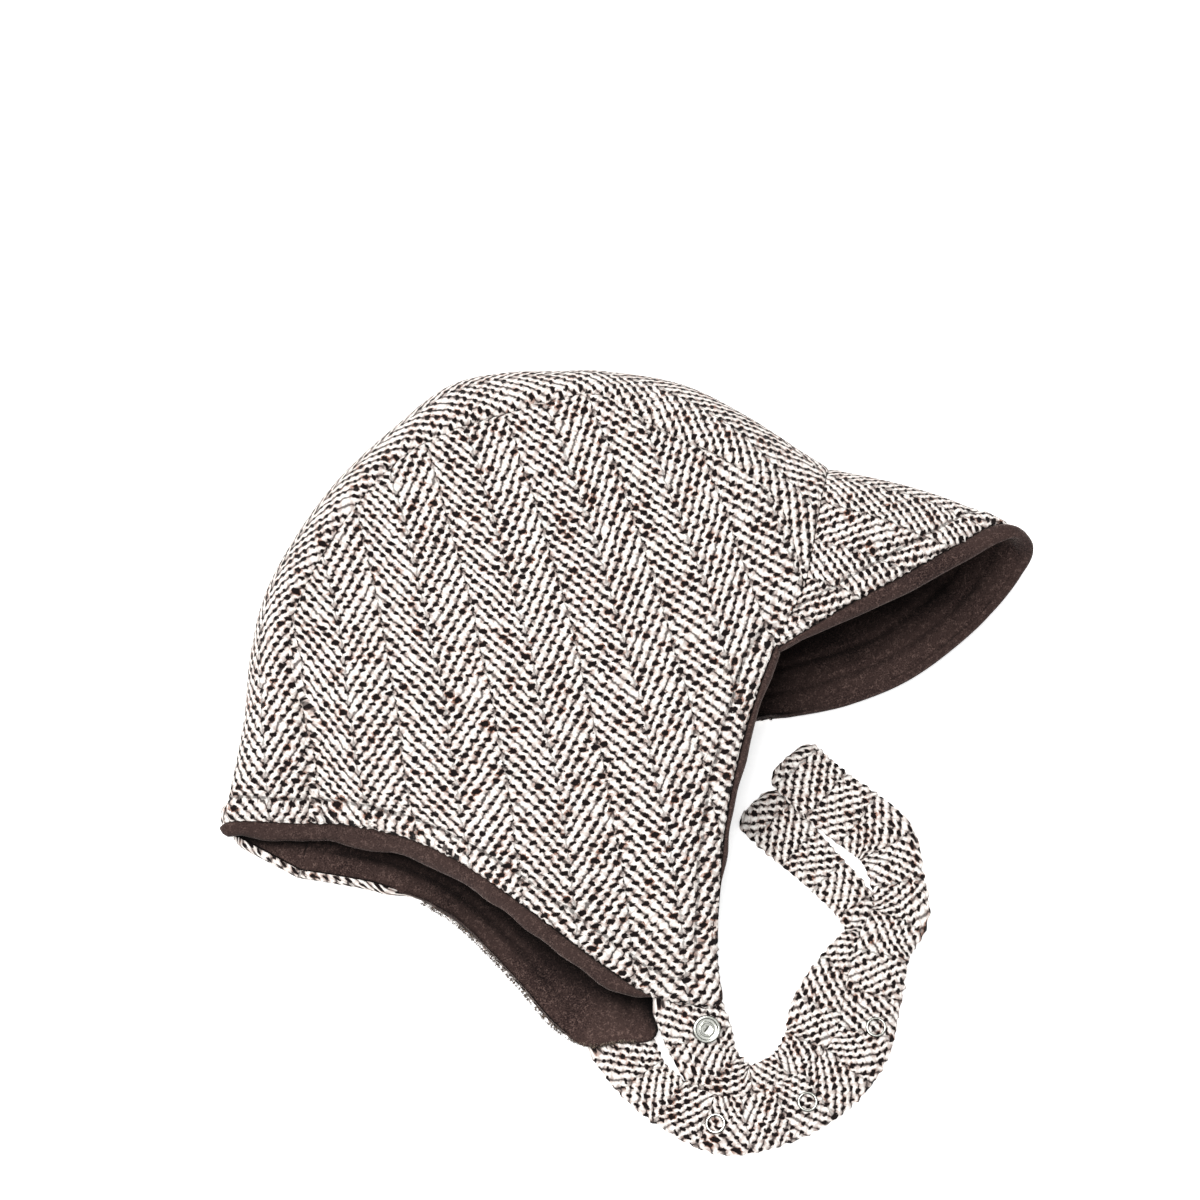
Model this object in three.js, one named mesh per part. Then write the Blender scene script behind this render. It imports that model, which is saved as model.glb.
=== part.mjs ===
// A child's reversible aviator hat, lying on its left side: herringbone tweed outside, fleece inside.
// Millimetres. +X points to the peak, +Y to the top of the crown, +Z up off the surface.
// The crown is one sheet of C-shaped sections. Each piece is a stretch of that sheet with a thickness.
import * as THREE from 'three';
import { mergeVertices } from 'three/addons/utils/BufferGeometryUtils.js';

// Cloth
const TWEED = 1.5;
const FLEECE = 3;
const GAP = 0.3;
const SEWN_GAP = GAP * 1.5;
const ROLL_GAP = GAP * 2;
const LINING_TOP = TWEED + GAP;
const LINING_BOTTOM = LINING_TOP + FLEECE;
const FULL_ROLL = 3;
const ROLL_START = [0.2, LINING_BOTTOM];
const ROLL_END = [1.2, LINING_BOTTOM - 0.8];
const STRAP_THICKNESS = 2.6;
const STRAP_CORNER = 6;
const STRAP_LIFT = 0.2;
const RING_ROUNDING = 0.3;

// Place of the tables' own origin, from the middle of the bounding box
const MIDDLE = [2.3, 0.9, 0];

// Mesh density
const GRAIN = 1e-3;
const GRAIN_DIGITS = 3;
const FLAT_CELL = 1e-6;
const POINTED = 0.2;
const COLUMNS_PER_SECTION = 2;
const PANEL_STEPS = [0, 0.14, 0.34, 0.56, 0.78, 1];
const GUSSET_STEPS = [1, 0.75, 0.5, 0.25, 0, -0.25, -0.5, -0.75, -1];
const PEAK_LINES = 28;
const PEAK_STEPS = [0, 0.2, 0.45, 0.72, 1];
const STRAP_STEPS = 34;
const STRAP_ACROSS = [-1, -0.5, 0, 0.5, 1];
const RING_SEGMENTS = 20;

// Crown
const DOME = 11;
const DOME_SPAN = 270;
const DOME_POWER = 1.5;
const DENT_FADE = 4;
const DROOP = 1.8;
const EDGE_CURL = 6;
const INSIDE_EDGE = 0.9;

// Each row is a section across the crown, from the back rim over the top to the forehead rim.
// fold is the outermost point, seam the upper seam, under the lower seam, which lies on the floor.
// right and left are where the tweed of each side panel ends, and roll is how far the fleece rolls past it.
const SECTION_COLUMNS = [
  'foldX', 'foldY', 'foldZ', 'seamX', 'seamY', 'seamZ', 'underX', 'underY',
  'rightX', 'rightY', 'rightZ', 'rightRoll', 'leftX', 'leftY', 'leftZ', 'leftRoll',
];
const SECTIONS = [
  [-177, 31, 7.5, -143, 19, 15, -152, 4, -143, 19, 15, 6, -152, 4, 0, 3],
  [-168, 45, 11, -138, 36, 24, -136, 26, -131, 12, 20, 8, -140, -4, 3, 2],
  [-153, 70, 16, -132, 59, 34, -123, 51, -113, 0, 25, 10, -122, -13, 3, 2],
  [-142, 93, 20, -128, 86, 42, -112, 78, -97, -16, 30, 10, -105, -30, 1, 2.5],
  [-126, 116, 24, -118, 101, 47, -104, 93, -81, -38, 33, 9, -93, -50, 0, 2],
  [-89, 145, 27, -90, 125, 52, -73, 119, -64, -63, 31, 8, -84, -71.5, 0, 2],
  [-53, 161, 29, -58, 142, 55, -43, 134, -46, -87, 22, 5, -76, -93, 0, 2],
  [-27, 169, 30, -36, 145, 57, -24, 141, -36, -98, 16, 0, -67, -104, 0, 0],
  [-4, 166, 30, -14, 144, 58, -10, 139, -25, -104, 13, 0, -54, -107, 0, 0],
  [16, 159, 30, 7, 143, 58, 7, 133, -12, -109, 12, 0, -41, -110, 0, 0],
  [32, 153, 30, 27, 138, 59, 20, 128, -5, -90, 19, 1, -33, -90, 0, 3],
  [62, 137, 29, 46, 115, 58, 44, 115, 10, -54, 31, 3, -10, -51, 0, 5],
  [83, 115, 28, 64, 97, 57, 60, 95, 29, -21, 39, 4, 12, -21, 0, 5],
  [99, 94, 26, 80, 72, 54, 71, 72, 57, 15, 46, 0, 35, 2, 0, 0],
  [107, 84, 24, 79, 36, 50, 83, 42, 79, 36, 50, 0, 83, 42, 0, 0],
];
const TEMPLE_SECTION = 13;
const FLAP_START = 7;
const FLAP_END = 9;

// Soft hollows pressed into the upper side: centre, reach and depth.
const DENT_COLUMNS = ['x', 'y', 'reach', 'depth'];
const DENTS = [
  [-98, 88, 22, 2.5],
  [-30, 132, 16, 2.5],
  [58, 74, 24, 2],
  [-40, -30, 34, 2.5],
];

// Each row is a point on the tweed edge of the peak, from the right temple round the tip to the left one.
const PEAK_COLUMNS = ['x', 'y', 'z', 'roll'];
const PEAK_EDGE = [
  [57, 15, 46, 0],
  [70, 18, 47, 4],
  [94, 23, 47, 6],
  [119, 27.5, 45, 6],
  [143, 33, 41, 6],
  [165, 38, 32, 6],
  [171, 31, 18, 5],
  [166, 24, 9, 4],
  [149, 12, 2, 4],
  [128, 3, 0.5, 4],
  [106, -3, 0.5, 4],
  [81, -4, 0.5, 4],
  [57, -2, 0.5, 3],
  [35, 2, 0.5, 0],
];
const PEAK_BULGE = 3;
const PEAK_TRIM = 0.045;

// Each row is a point on the middle of a strap, with its width and the heights of its underside
// at the outer edge, the middle and the inner edge. Both straps lie on the floor, side by side,
// and the inner edge of the left one laps over the outer edge of the right one.
const STRAP_COLUMNS = ['x', 'y', 'width', 'outer', 'middle', 'inner'];
const STRAP_RIGHT = [
  [-24, -102, 27, 9, 9, 9],
  [-23.5, -117, 27, 5, 5, 5],
  [-22.5, -130, 23, 1, 1, 1],
  [-14, -145, 22, 0, 0, 0],
  [6, -145, 22, 0, 0, 0],
  [19, -136, 23, 0, 0, 0],
  [27, -124, 24, 0, 0, 0],
  [36, -115, 22, 0, 0, 0],
  [45.5, -108, 20, 0, 0, 0],
  [57, -99.5, 18, 0, 0, 0],
  [56, -87, 16, 0, 0, 0],
  [47.5, -66, 18, 0, 0, 0],
  [39, -48, 21, 0, 0, 0],
  [31.5, -32, 22, 0, 0, 0],
];
const STRAP_LEFT = [
  [-54, -108, 26, 0.5, 0.5, 0.5],
  [-50.5, -126, 21, 0, 0, 0],
  [-41, -142.5, 20, 0, 0.8, 3.4],
  [-27.5, -155.5, 22, 0, 2.4, 4.8],
  [-16, -159, 22, 0, 2.8, 4.6],
  [6, -159, 22, 0, 2.8, 4.6],
  [25, -153, 22, 0, 2, 4],
  [38.5, -143, 22, 0, 1.4, 3.4],
  [46.5, -130.5, 22, 0, 1.4, 3.6],
  [53, -120, 22, 0, 2.8, 4.6],
  [61, -107.5, 21, 1.6, 3.4, 4],
  [72, -97, 22, 0.6, 3, 4],
  [76, -81, 21, 0, 1, 2.6],
  [76.5, -65.5, 25, 0, 0, 0.6],
  [67.5, -50, 26, 0, 0.6, 2.8],
  [60, -38, 25, 0, 1.2, 3.6],
  [51, -19, 24, 0, 1.2, 3.6],
];

// Each row is one ring snap: the strap it is on, how far along it is, how far it lies from the strap's
// middle towards the inner edge, its outer and inner radius and its height.
const SNAP_COLUMNS = ['name', 'strap', 'along', 'aside', 'outer', 'inner', 'height'];
const SNAPS = [
  ['snap_socket', 'right', 0.069, 3.8, 5.4, 1.7, 1.6],
  ['snap_ring_1', 'left', 0.2, 0, 4.2, 3.3, 0.9],
  ['snap_ring_2', 'left', 0.345, 0, 4.2, 3.3, 0.9],
  ['snap_ring_3', 'left', 0.5, -3.4, 4.2, 3.3, 0.9],
];

const TWEED_LOOK = { color: 0xb9aaa0, roughness: 0.95, metalness: 0 };
const FLEECE_LOOK = { color: 0x46302d, roughness: 1, metalness: 0 };
const METAL_LOOK = { color: 0xb8b8b4, roughness: 0.3, metalness: 1 };

function named(columns, rows) {
  return rows.map((row) => Object.fromEntries(columns.map((name, i) => [name, row[i]])));
}

const sections = named(SECTION_COLUMNS, SECTIONS);
const dents = named(DENT_COLUMNS, DENTS);
const lastSection = sections.length - 1;

function curveThrough(rows, x, y, z) {
  const points = rows.map((row) => new THREE.Vector3(row[x], row[y], z ? row[z] : 0));
  return new THREE.CatmullRomCurve3(points, false, 'centripetal');
}

function between(rows, column, u) {
  const place = u * (rows.length - 1);
  const i = Math.min(Math.floor(place), rows.length - 2);
  return THREE.MathUtils.lerp(rows[i][column], rows[i + 1][column], place - i);
}

const foldCurve = curveThrough(sections, 'foldX', 'foldY', 'foldZ');
const seamCurve = curveThrough(sections, 'seamX', 'seamY', 'seamZ');
const underCurve = curveThrough(sections, 'underX', 'underY');
const edgeCurves = {
  right: curveThrough(sections, 'rightX', 'rightY', 'rightZ'),
  left: curveThrough(sections, 'leftX', 'leftY', 'leftZ'),
};

// A point on the centre strip: w runs from the upper seam (1) round the fold (0) to the lower seam (-1).
function gussetPoint(u, w) {
  const fold = foldCurve.getPoint(u);
  const seam = (w >= 0 ? seamCurve : underCurve).getPoint(u);
  const inward = new THREE.Vector3(seam.x - fold.x, seam.y - fold.y, 0);
  const width = inward.length();
  const height = seam.z - fold.z;
  const reach = Math.min(width, Math.abs(height));
  const arc = Math.PI / 4 * (reach + Math.abs(height));
  const along = Math.abs(w) * (arc + width - reach);
  const angle = Math.min(along / arc, 1) * Math.PI / 2;
  const inset = reach * (1 - Math.cos(angle)) + Math.max(along - arc, 0);
  inward.normalize();
  return new THREE.Vector3(
    fold.x + inward.x * inset,
    fold.y + inward.y * inset,
    fold.z + height * Math.sin(angle),
  );
}

function dentAt(x, y) {
  return dents.reduce((sum, dent) => {
    const distance = Math.hypot(x - dent.x, y - dent.y) / dent.reach;
    return sum + dent.depth * Math.exp(-distance * distance);
  }, 0);
}

// A point on a side panel: t runs from the seam (0) to the tweed edge (1).
function panelPoint(side, u, t) {
  const seam = gussetPoint(u, side === 'right' ? 1 : -1);
  const edge = edgeCurves[side].getPoint(u);
  const span = Math.hypot(edge.x - seam.x, edge.y - seam.y);
  const point = seam.clone().lerp(edge, t);
  if (side === 'left') {
    point.z = Math.max(edge.z, 0) * t ** EDGE_CURL;
    return point;
  }
  const slack = Math.min(span / DOME_SPAN, 1);
  const pressed = Math.min(slack * DENT_FADE, 1) * dentAt(point.x, point.y);
  const swell = DOME * slack ** DOME_POWER - pressed;
  point.z = seam.z + (edge.z - seam.z) * t ** DROOP + swell * Math.sin(Math.PI * t);
  return point;
}

// The whole crown as one grid: rows run from the right edge over the fold to the left edge.
const columnCount = lastSection * COLUMNS_PER_SECTION + 1;
const panelRows = PANEL_STEPS.length;
const gussetRows = GUSSET_STEPS.length;
const rowMakers = [
  ...[...PANEL_STEPS].reverse().map((t) => (u) => panelPoint('right', u, t)),
  ...GUSSET_STEPS.slice(1, -1).map((w) => (u) => gussetPoint(u, w)),
  ...PANEL_STEPS.map((t) => (u) => panelPoint('left', u, t)),
];
const rightSeamRow = panelRows - 1;
const leftSeamRow = rightSeamRow + gussetRows - 1;

function keyOf(point) {
  return point.toArray().map((value) => value.toFixed(GRAIN_DIGITS)).join(' ');
}

// Gives each point of a grid the average direction of the cells around it.
function withNormals(points) {
  const sums = new Map();
  const add = (normal, ...corners) => corners.forEach((corner) => {
    const key = keyOf(corner);
    sums.set(key, (sums.get(key) ?? new THREE.Vector3()).add(normal));
  });
  for (let i = 0; i + 1 < points.length; i += 1) {
    for (let j = 0; j + 1 < points[i].length; j += 1) {
      const [a, b, c, d] = [points[i][j], points[i][j + 1], points[i + 1][j + 1], points[i + 1][j]];
      const normal = c.clone().sub(a).cross(d.clone().sub(b));
      if (normal.length() > FLAT_CELL) {
        add(normal.normalize(), a, b, c, d);
      }
    }
  }
  return points.map((row) => row.map((point) => ({
    point, normal: sums.get(keyOf(point)).clone().normalize(),
  })));
}

const crown = withNormals(rowMakers.map((maker) => Array.from(
  { length: columnCount },
  (_, column) => maker(column / (columnCount - 1)),
)));

// A solid between two depths under a grid. depths(i, j) gives [top, bottom].
function shell(grid, depths) {
  const rows = grid.length;
  const columns = grid[0].length;
  const positions = [];
  for (const level of [0, 1]) {
    grid.forEach((row, i) => row.forEach(({ point, normal }, j) => {
      const place = point.clone().addScaledVector(normal, -depths(i, j)[level]);
      positions.push(...place.toArray().map((value) => Math.round(value / GRAIN) * GRAIN));
    }));
  }
  const at = (level, i, j) => level * rows * columns + i * columns + j;
  const faces = [];
  const quad = (a, b, c, d) => faces.push(a, b, c, a, c, d);
  for (let i = 0; i + 1 < rows; i += 1) {
    for (let j = 0; j + 1 < columns; j += 1) {
      quad(at(0, i, j), at(0, i, j + 1), at(0, i + 1, j + 1), at(0, i + 1, j));
      quad(at(1, i, j), at(1, i + 1, j), at(1, i + 1, j + 1), at(1, i, j + 1));
    }
  }
  const rim = [];
  for (let j = 0; j < columns; j += 1) {
    rim.push([0, j]);
  }
  for (let i = 1; i < rows; i += 1) {
    rim.push([i, columns - 1]);
  }
  for (let j = columns - 2; j >= 0; j -= 1) {
    rim.push([rows - 1, j]);
  }
  for (let i = rows - 2; i > 0; i -= 1) {
    rim.push([i, 0]);
  }
  rim.forEach(([i, j], k) => {
    const [m, n] = rim[(k + 1) % rim.length];
    quad(at(1, i, j), at(1, m, n), at(0, m, n), at(0, i, j));
  });
  return closedGeometry(positions, faces);
}

// Joins equal corners, drops flat triangles and turns the faces outwards.
function closedGeometry(positions, faces) {
  const raw = new THREE.BufferGeometry();
  raw.setAttribute('position', new THREE.Float32BufferAttribute(positions, 3));
  raw.setIndex(faces);
  const merged = mergeVertices(raw, GRAIN);
  const index = Array.from(merged.index.array);
  const kept = [];
  for (let k = 0; k < index.length; k += 3) {
    const [a, b, c] = index.slice(k, k + 3);
    if (a !== b && b !== c && c !== a) {
      kept.push(a, b, c);
    }
  }
  const place = merged.attributes.position;
  const corner = (i) => new THREE.Vector3().fromBufferAttribute(place, i);
  let volume = 0;
  for (let k = 0; k < kept.length; k += 3) {
    volume += corner(kept[k]).dot(corner(kept[k + 1]).cross(corner(kept[k + 2])));
  }
  if (volume < 0) {
    kept.reverse();
  }
  merged.setIndex(kept);
  merged.computeVertexNormals();
  return merged;
}

function moved(entry, offset) {
  return { point: entry.point.clone().add(offset), normal: entry.normal };
}

// Directions along the sheet, used to leave small gaps between pieces and to roll the edge.
function towards(from, to, distance) {
  const step = to.clone().sub(from);
  return step.setLength(distance);
}

function rollDirection(side, column) {
  const edgeRow = side === 'right' ? 0 : crown.length - 1;
  const seamRow = side === 'right' ? rightSeamRow : leftSeamRow;
  if (column === 0) {
    return towards(crown[seamRow][1].point, crown[seamRow][0].point, 1);
  }
  const before = crown[edgeRow][Math.max(column - 1, 0)].point;
  const after = crown[edgeRow][Math.min(column + 1, columnCount - 1)].point;
  return new THREE.Vector3(after.y - before.y, before.x - after.x, 0).normalize();
}

// The rows of one side panel from its seam to its edge, held off the seam by half a gap.
function panelGrid(side) {
  const rows = side === 'right'
    ? crown.slice(0, panelRows).reverse()
    : crown.slice(leftSeamRow);
  const edge = rows[rows.length - 1];
  return rows.map((row, i) => row.map((entry, j) => {
    const collapsed = rows[0][j].point.distanceTo(edge[j].point) < POINTED;
    if (collapsed) {
      const neighbour = j === 0 ? edge[1] : edge[j - 1];
      return moved(entry, towards(entry.point, neighbour.point, GAP / 2));
    }
    return i === 0 ? moved(entry, towards(entry.point, rows[1][j].point, GAP / 2)) : entry;
  }));
}

function tweedPanel(side) {
  const grid = panelGrid(side);
  const edge = grid.length - 1;
  grid[edge] = grid[edge].map((entry, j) => {
    const inner = grid[edge - 1][j].point;
    const isPoint = inner.distanceTo(entry.point) < POINTED;
    return isPoint ? entry : moved(entry, towards(entry.point, inner, GAP / 2));
  });
  return shell(grid, () => [0, TWEED]);
}

function liningPanel(side) {
  const grid = panelGrid(side);
  const edge = grid[grid.length - 1];
  const rollAt = (j) => between(sections, `${side}Roll`, j / (columnCount - 1));
  const rolled = (share) => edge.map((entry, j) => {
    const distance = share ? rollAt(j) : Math.min(rollAt(j), GAP);
    return moved(entry, rollDirection(side, j).multiplyScalar(distance));
  });
  grid.push(rolled(false), rolled(true));
  const depths = (i, j) => {
    if (i < grid.length - 2) return [LINING_TOP, LINING_BOTTOM];
    const fullness = Math.min(rollAt(j) / FULL_ROLL, 1);
    const [top, bottom] = i === grid.length - 2 ? ROLL_START : ROLL_END;
    return [
      THREE.MathUtils.lerp(LINING_TOP, top, fullness),
      THREE.MathUtils.lerp(LINING_BOTTOM, bottom, fullness),
    ];
  };
  return shell(grid, depths);
}

// The rows of the centre strip, held off both seams by half a gap.
function gussetGrid() {
  const rows = crown.slice(rightSeamRow, leftSeamRow + 1);
  const last = rows.length - 1;
  return rows.map((row, i) => row.map((entry, j) => {
    if (i !== 0 && i !== last) return entry;
    const inner = rows[i === 0 ? 1 : last - 1][j].point;
    return moved(entry, towards(entry.point, inner, GAP / 2));
  }));
}

function tweedGusset() {
  const grid = gussetGrid().map((row) => {
    const trimmed = moved(row[0], towards(row[0].point, row[1].point, GAP / 2));
    return [trimmed, ...row.slice(1)];
  });
  return shell(grid, () => [0, TWEED]);
}

function liningGusset() {
  const roll = sections[0].rightRoll;
  const rows = gussetGrid();
  const seamRoll = (i) => THREE.MathUtils.lerp(roll, sections[0].leftRoll, i / (rows.length - 1));
  const grid = rows.map((row, i) => {
    const back = (distance) => moved(row[0], towards(row[1].point, row[0].point, distance));
    return [back(seamRoll(i)), back(GAP), ...row];
  });
  const depths = (i, j) => {
    if (j > 1) return [LINING_TOP, LINING_BOTTOM];
    return j === 1 ? ROLL_START : ROLL_END;
  };
  return shell(grid, depths);
}

// The front rim of the crown, where the peak is sewn on, from the right temple to the left one.
// out points away from the crown, along its sheet and square to the rim.
function frontRim() {
  const temple = TEMPLE_SECTION * COLUMNS_PER_SECTION;
  const end = columnCount - 1;
  const lastRow = crown.length - 1;
  const rim = [];
  for (let j = temple; j < end; j += 1) {
    rim.push(crown[0][j]);
  }
  for (let i = rightSeamRow; i <= leftSeamRow; i += 1) {
    rim.push(crown[i][end]);
  }
  for (let j = end - 1; j >= temple; j -= 1) {
    rim.push(crown[lastRow][j]);
  }
  return rim.map((entry, k) => {
    const before = rim[Math.max(k - 1, 0)].point;
    const after = rim[Math.min(k + 1, rim.length - 1)].point;
    return { ...entry, out: after.clone().sub(before).cross(entry.normal).normalize() };
  });
}

function alongRim(rim, share) {
  const lengths = rim.slice(1).map((entry, k) => entry.point.distanceTo(rim[k].point));
  let remaining = share * lengths.reduce((sum, length) => sum + length, 0);
  let k = 0;
  while (k < lengths.length - 1 && remaining > lengths[k]) {
    remaining -= lengths[k];
    k += 1;
  }
  const mix = remaining / lengths[k];
  return {
    point: rim[k].point.clone().lerp(rim[k + 1].point, mix),
    normal: rim[k].normal.clone().lerp(rim[k + 1].normal, mix).normalize(),
    out: rim[k].out.clone().lerp(rim[k + 1].out, mix).normalize(),
  };
}

// The peak as a grid: a row for each line from the rim of the crown out to the tweed edge.
const peakRows = named(PEAK_COLUMNS, PEAK_EDGE);
const peakEdge = curveThrough(peakRows, 'x', 'y', 'z');
const peakShares = Array.from(
  { length: PEAK_LINES + 1 },
  (_, k) => THREE.MathUtils.lerp(PEAK_TRIM, 1 - PEAK_TRIM, k / PEAK_LINES),
);

function peakGrid() {
  const rim = frontRim();
  const roots = peakShares.map((share) => alongRim(rim, share));
  const points = peakShares.map((share, k) => PEAK_STEPS.map((step) => {
    const { point: root, normal, out } = roots[k];
    const start = root.clone().addScaledVector(out, SEWN_GAP);
    const bulge = PEAK_BULGE * Math.sin(Math.PI * step) * Math.sin(Math.PI * share);
    const point = start.lerp(peakEdge.getPointAt(share), step).addScaledVector(normal, bulge);
    return point.setZ(Math.max(point.z, 0));
  }));
  return withNormals(points).map((row, k) => {
    const root = { point: row[0].point, normal: roots[k].normal };
    return [root, ...row.slice(1)];
  });
}

function tweedPeak() {
  return shell(peakGrid(), () => [0, TWEED]);
}

function fleecePeak() {
  const edgeStep = PEAK_STEPS.length - 1;
  const grid = peakGrid().map((row, k) => {
    const edge = row[edgeStep];
    const before = row[edgeStep - 1].point;
    const roll = between(peakRows, 'roll', peakEdge.getUtoTmapping(peakShares[k]));
    const rolled = (distance) => moved(edge, towards(before, edge.point, distance));
    return [...row, rolled(ROLL_GAP), rolled(roll)];
  });
  const depths = (k, step) => {
    if (step <= edgeStep) return [LINING_TOP, LINING_BOTTOM];
    return step === edgeStep + 1 ? ROLL_START : ROLL_END;
  };
  return shell(grid, depths);
}

// A strap as its middle line with three heights across, wide enough at the start to fill the flap's tip.
const straps = {
  right: named(STRAP_COLUMNS, STRAP_RIGHT),
  left: named(STRAP_COLUMNS, STRAP_LEFT),
};

function strapSection(side, share) {
  const rows = straps[side];
  const curve = curveThrough(rows, 'x', 'y');
  const u = curve.getUtoTmapping(share);
  const centre = curve.getPoint(u);
  const tangent = curve.getTangent(u);
  const inner = new THREE.Vector3(-tangent.y, tangent.x, 0);
  const length = curve.getLength();
  const remaining = (1 - share) * length;
  const inCorner = Math.max(STRAP_CORNER - remaining, 0);
  const corner = STRAP_CORNER - Math.sqrt(STRAP_CORNER ** 2 - inCorner ** 2);
  const width = between(rows, 'width', u) / 2 - corner;
  const [outer, middle, inward] = ['outer', 'middle', 'inner'].map((name) => between(rows, name, u));
  return STRAP_ACROSS.map((across) => {
    const point = centre.clone().addScaledVector(inner, across * width);
    const rim = across < 0 ? outer : inward;
    return point.setZ(THREE.MathUtils.lerp(middle, rim, Math.abs(across)) + STRAP_THICKNESS);
  });
}

// The strap's first section follows the tip of its flap.
function strapStart(side) {
  const edge = edgeCurves[side];
  return STRAP_ACROSS.map((across) => {
    const row = THREE.MathUtils.lerp(FLAP_START, FLAP_END, (across + 1) / 2);
    const point = edge.getPoint(row / lastSection);
    const z = point.z;
    const away = panelPoint(side, row / lastSection, INSIDE_EDGE).setZ(0);
    point.setZ(0).add(towards(away, point, SEWN_GAP));
    return point.setZ(Math.max(z - TWEED / 2, STRAP_THICKNESS + STRAP_LIFT));
  });
}

function strapGrid(side) {
  const points = [strapStart(side)];
  for (let k = 1; k <= STRAP_STEPS; k += 1) {
    points.push(strapSection(side, k / STRAP_STEPS));
  }
  return points.map((row) => row.map((point) => ({ point, normal: new THREE.Vector3(0, 0, 1) })));
}

function strap(side) {
  return shell(strapGrid(side), () => [0, STRAP_THICKNESS]);
}

// A pressed ring, lying on the strap at its own slope.
function snapRing(row) {
  const { outer, inner, height } = row;
  const round = height * RING_ROUNDING;
  const profile = [
    [inner, 0], [outer, 0], [outer, height - round], [outer - round, height], [inner, height], [inner, 0],
  ].map(([x, y]) => new THREE.Vector2(x, y));
  const geometry = new THREE.LatheGeometry(profile, RING_SEGMENTS).rotateX(Math.PI / 2);
  geometry.deleteAttribute('normal');
  geometry.deleteAttribute('uv');
  return closedGeometry(Array.from(geometry.attributes.position.array), Array.from(geometry.index.array));
}

function placeOnStrap(mesh, row) {
  const step = row.outer / curveThrough(straps[row.strap], 'x', 'y').getLength();
  const section = strapSection(row.strap, row.along);
  const middle = Math.floor(section.length / 2);
  const ahead = strapSection(row.strap, row.along + step)[middle];
  const behind = strapSection(row.strap, row.along - step)[middle];
  const across = section[middle + 1].clone().sub(section[middle - 1]);
  const normal = ahead.clone().sub(behind).cross(across).normalize();
  const crest = (section[middle].z - (section[middle - 1].z + section[middle + 1].z) / 2) / 2;
  const place = section[middle].clone().addScaledVector(across.clone().normalize(), row.aside);
  mesh.quaternion.setFromUnitVectors(new THREE.Vector3(0, 0, 1), normal);
  mesh.position.copy(place).addScaledVector(normal, GAP + Math.abs(crest));
}

// The group's place puts the origin on the floor under the middle of the hat's bounding box.
const hat = new THREE.Group();
hat.position.set(...MIDDLE);

function addPiece(name, geometry, look) {
  const mesh = new THREE.Mesh(geometry, new THREE.MeshStandardMaterial(look));
  mesh.name = name;
  hat.add(mesh);
  return mesh;
}

for (const side of ['right', 'left']) {
  addPiece(`crown_side_${side}`, tweedPanel(side), TWEED_LOOK);
  addPiece(`lining_side_${side}`, liningPanel(side), FLEECE_LOOK);
  addPiece(`chin_strap_${side}`, strap(side), TWEED_LOOK);
}
addPiece('crown_centre', tweedGusset(), TWEED_LOOK);
addPiece('lining_centre', liningGusset(), FLEECE_LOOK);
addPiece('peak_top', tweedPeak(), TWEED_LOOK);
addPiece('peak_underside', fleecePeak(), FLEECE_LOOK);
for (const row of named(SNAP_COLUMNS, SNAPS)) {
  placeOnStrap(addPiece(row.name, snapRing(row), METAL_LOOK), row);
}

export default hat;
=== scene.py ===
"""A child's reversible aviator hat, lying on its left side on a pale table.

The hat is cut as a sewer cuts it: two side panels with ear flaps, a centre strip, a folded peak and two chin
straps in herringbone tweed, the same crown pieces and the peak's underside in fleece, and four ring snaps.
Lengths in the tables are millimetres. +X points to the peak, +Y to the top of the crown and +Z up.
"""

from __future__ import annotations

import logging
import math
from dataclasses import dataclass
from enum import Enum, IntEnum
from typing import Any, Callable, NamedTuple, Sequence

import bmesh
import bpy
import numpy as np
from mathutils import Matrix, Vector
from mathutils.kdtree import KDTree


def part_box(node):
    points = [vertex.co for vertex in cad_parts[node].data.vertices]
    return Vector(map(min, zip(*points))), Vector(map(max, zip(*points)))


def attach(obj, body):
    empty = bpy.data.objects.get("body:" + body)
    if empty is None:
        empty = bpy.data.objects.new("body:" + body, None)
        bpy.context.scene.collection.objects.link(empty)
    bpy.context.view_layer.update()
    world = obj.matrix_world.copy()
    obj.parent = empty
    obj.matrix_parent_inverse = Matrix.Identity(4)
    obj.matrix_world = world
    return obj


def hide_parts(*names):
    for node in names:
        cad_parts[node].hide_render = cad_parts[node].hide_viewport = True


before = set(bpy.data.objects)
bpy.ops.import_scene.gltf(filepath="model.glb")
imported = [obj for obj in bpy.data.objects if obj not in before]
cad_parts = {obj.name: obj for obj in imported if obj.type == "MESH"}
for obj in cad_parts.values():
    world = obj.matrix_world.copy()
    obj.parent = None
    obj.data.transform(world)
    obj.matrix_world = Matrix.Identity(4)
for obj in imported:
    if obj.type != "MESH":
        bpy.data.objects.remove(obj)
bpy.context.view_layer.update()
log = logging.getLogger("aviator_hat")

Array = np.ndarray
Span = tuple[float, float]
Colour = tuple[float, float, float]
MM = 0.001
# From the tables' origin to the middle of the hat.
MIDDLE = (2.3, 0.9, 0.0)

# How thick the cloths are, and how deep under the tweed's face the fleece lies.
TWEED = 1.5
FLEECE = 3.0
LINING_TOP = 1.8
LINING_BOTTOM = LINING_TOP + FLEECE
# How thin the relief may leave the tweed, and the gap that two pieces keep at a shared seam.
THINNEST = 0.6
SEAM_GAP = 0.15
# How many places a curve is measured at.
FINE = 2001


class Side(Enum):
    """The two sides of the hat. It lies on the left one."""

    RIGHT = "right"
    LEFT = "left"


class Seed(IntEnum):
    """Which random unevenness each part has."""

    CROWN = 3
    RIGHT_PANEL = 11
    LEFT_PANEL = 17
    RIGHT_LINING = 23
    LEFT_LINING = 29
    STRIP = 31
    STRIP_LINING = 37
    PEAK = 41
    PEAK_FLEECE = 43
    RIGHT_STRAP = 51
    LEFT_STRAP = 57
    FRINGE = 71
    OUTER_EDGE = 81
    INNER_EDGE = 83


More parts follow.
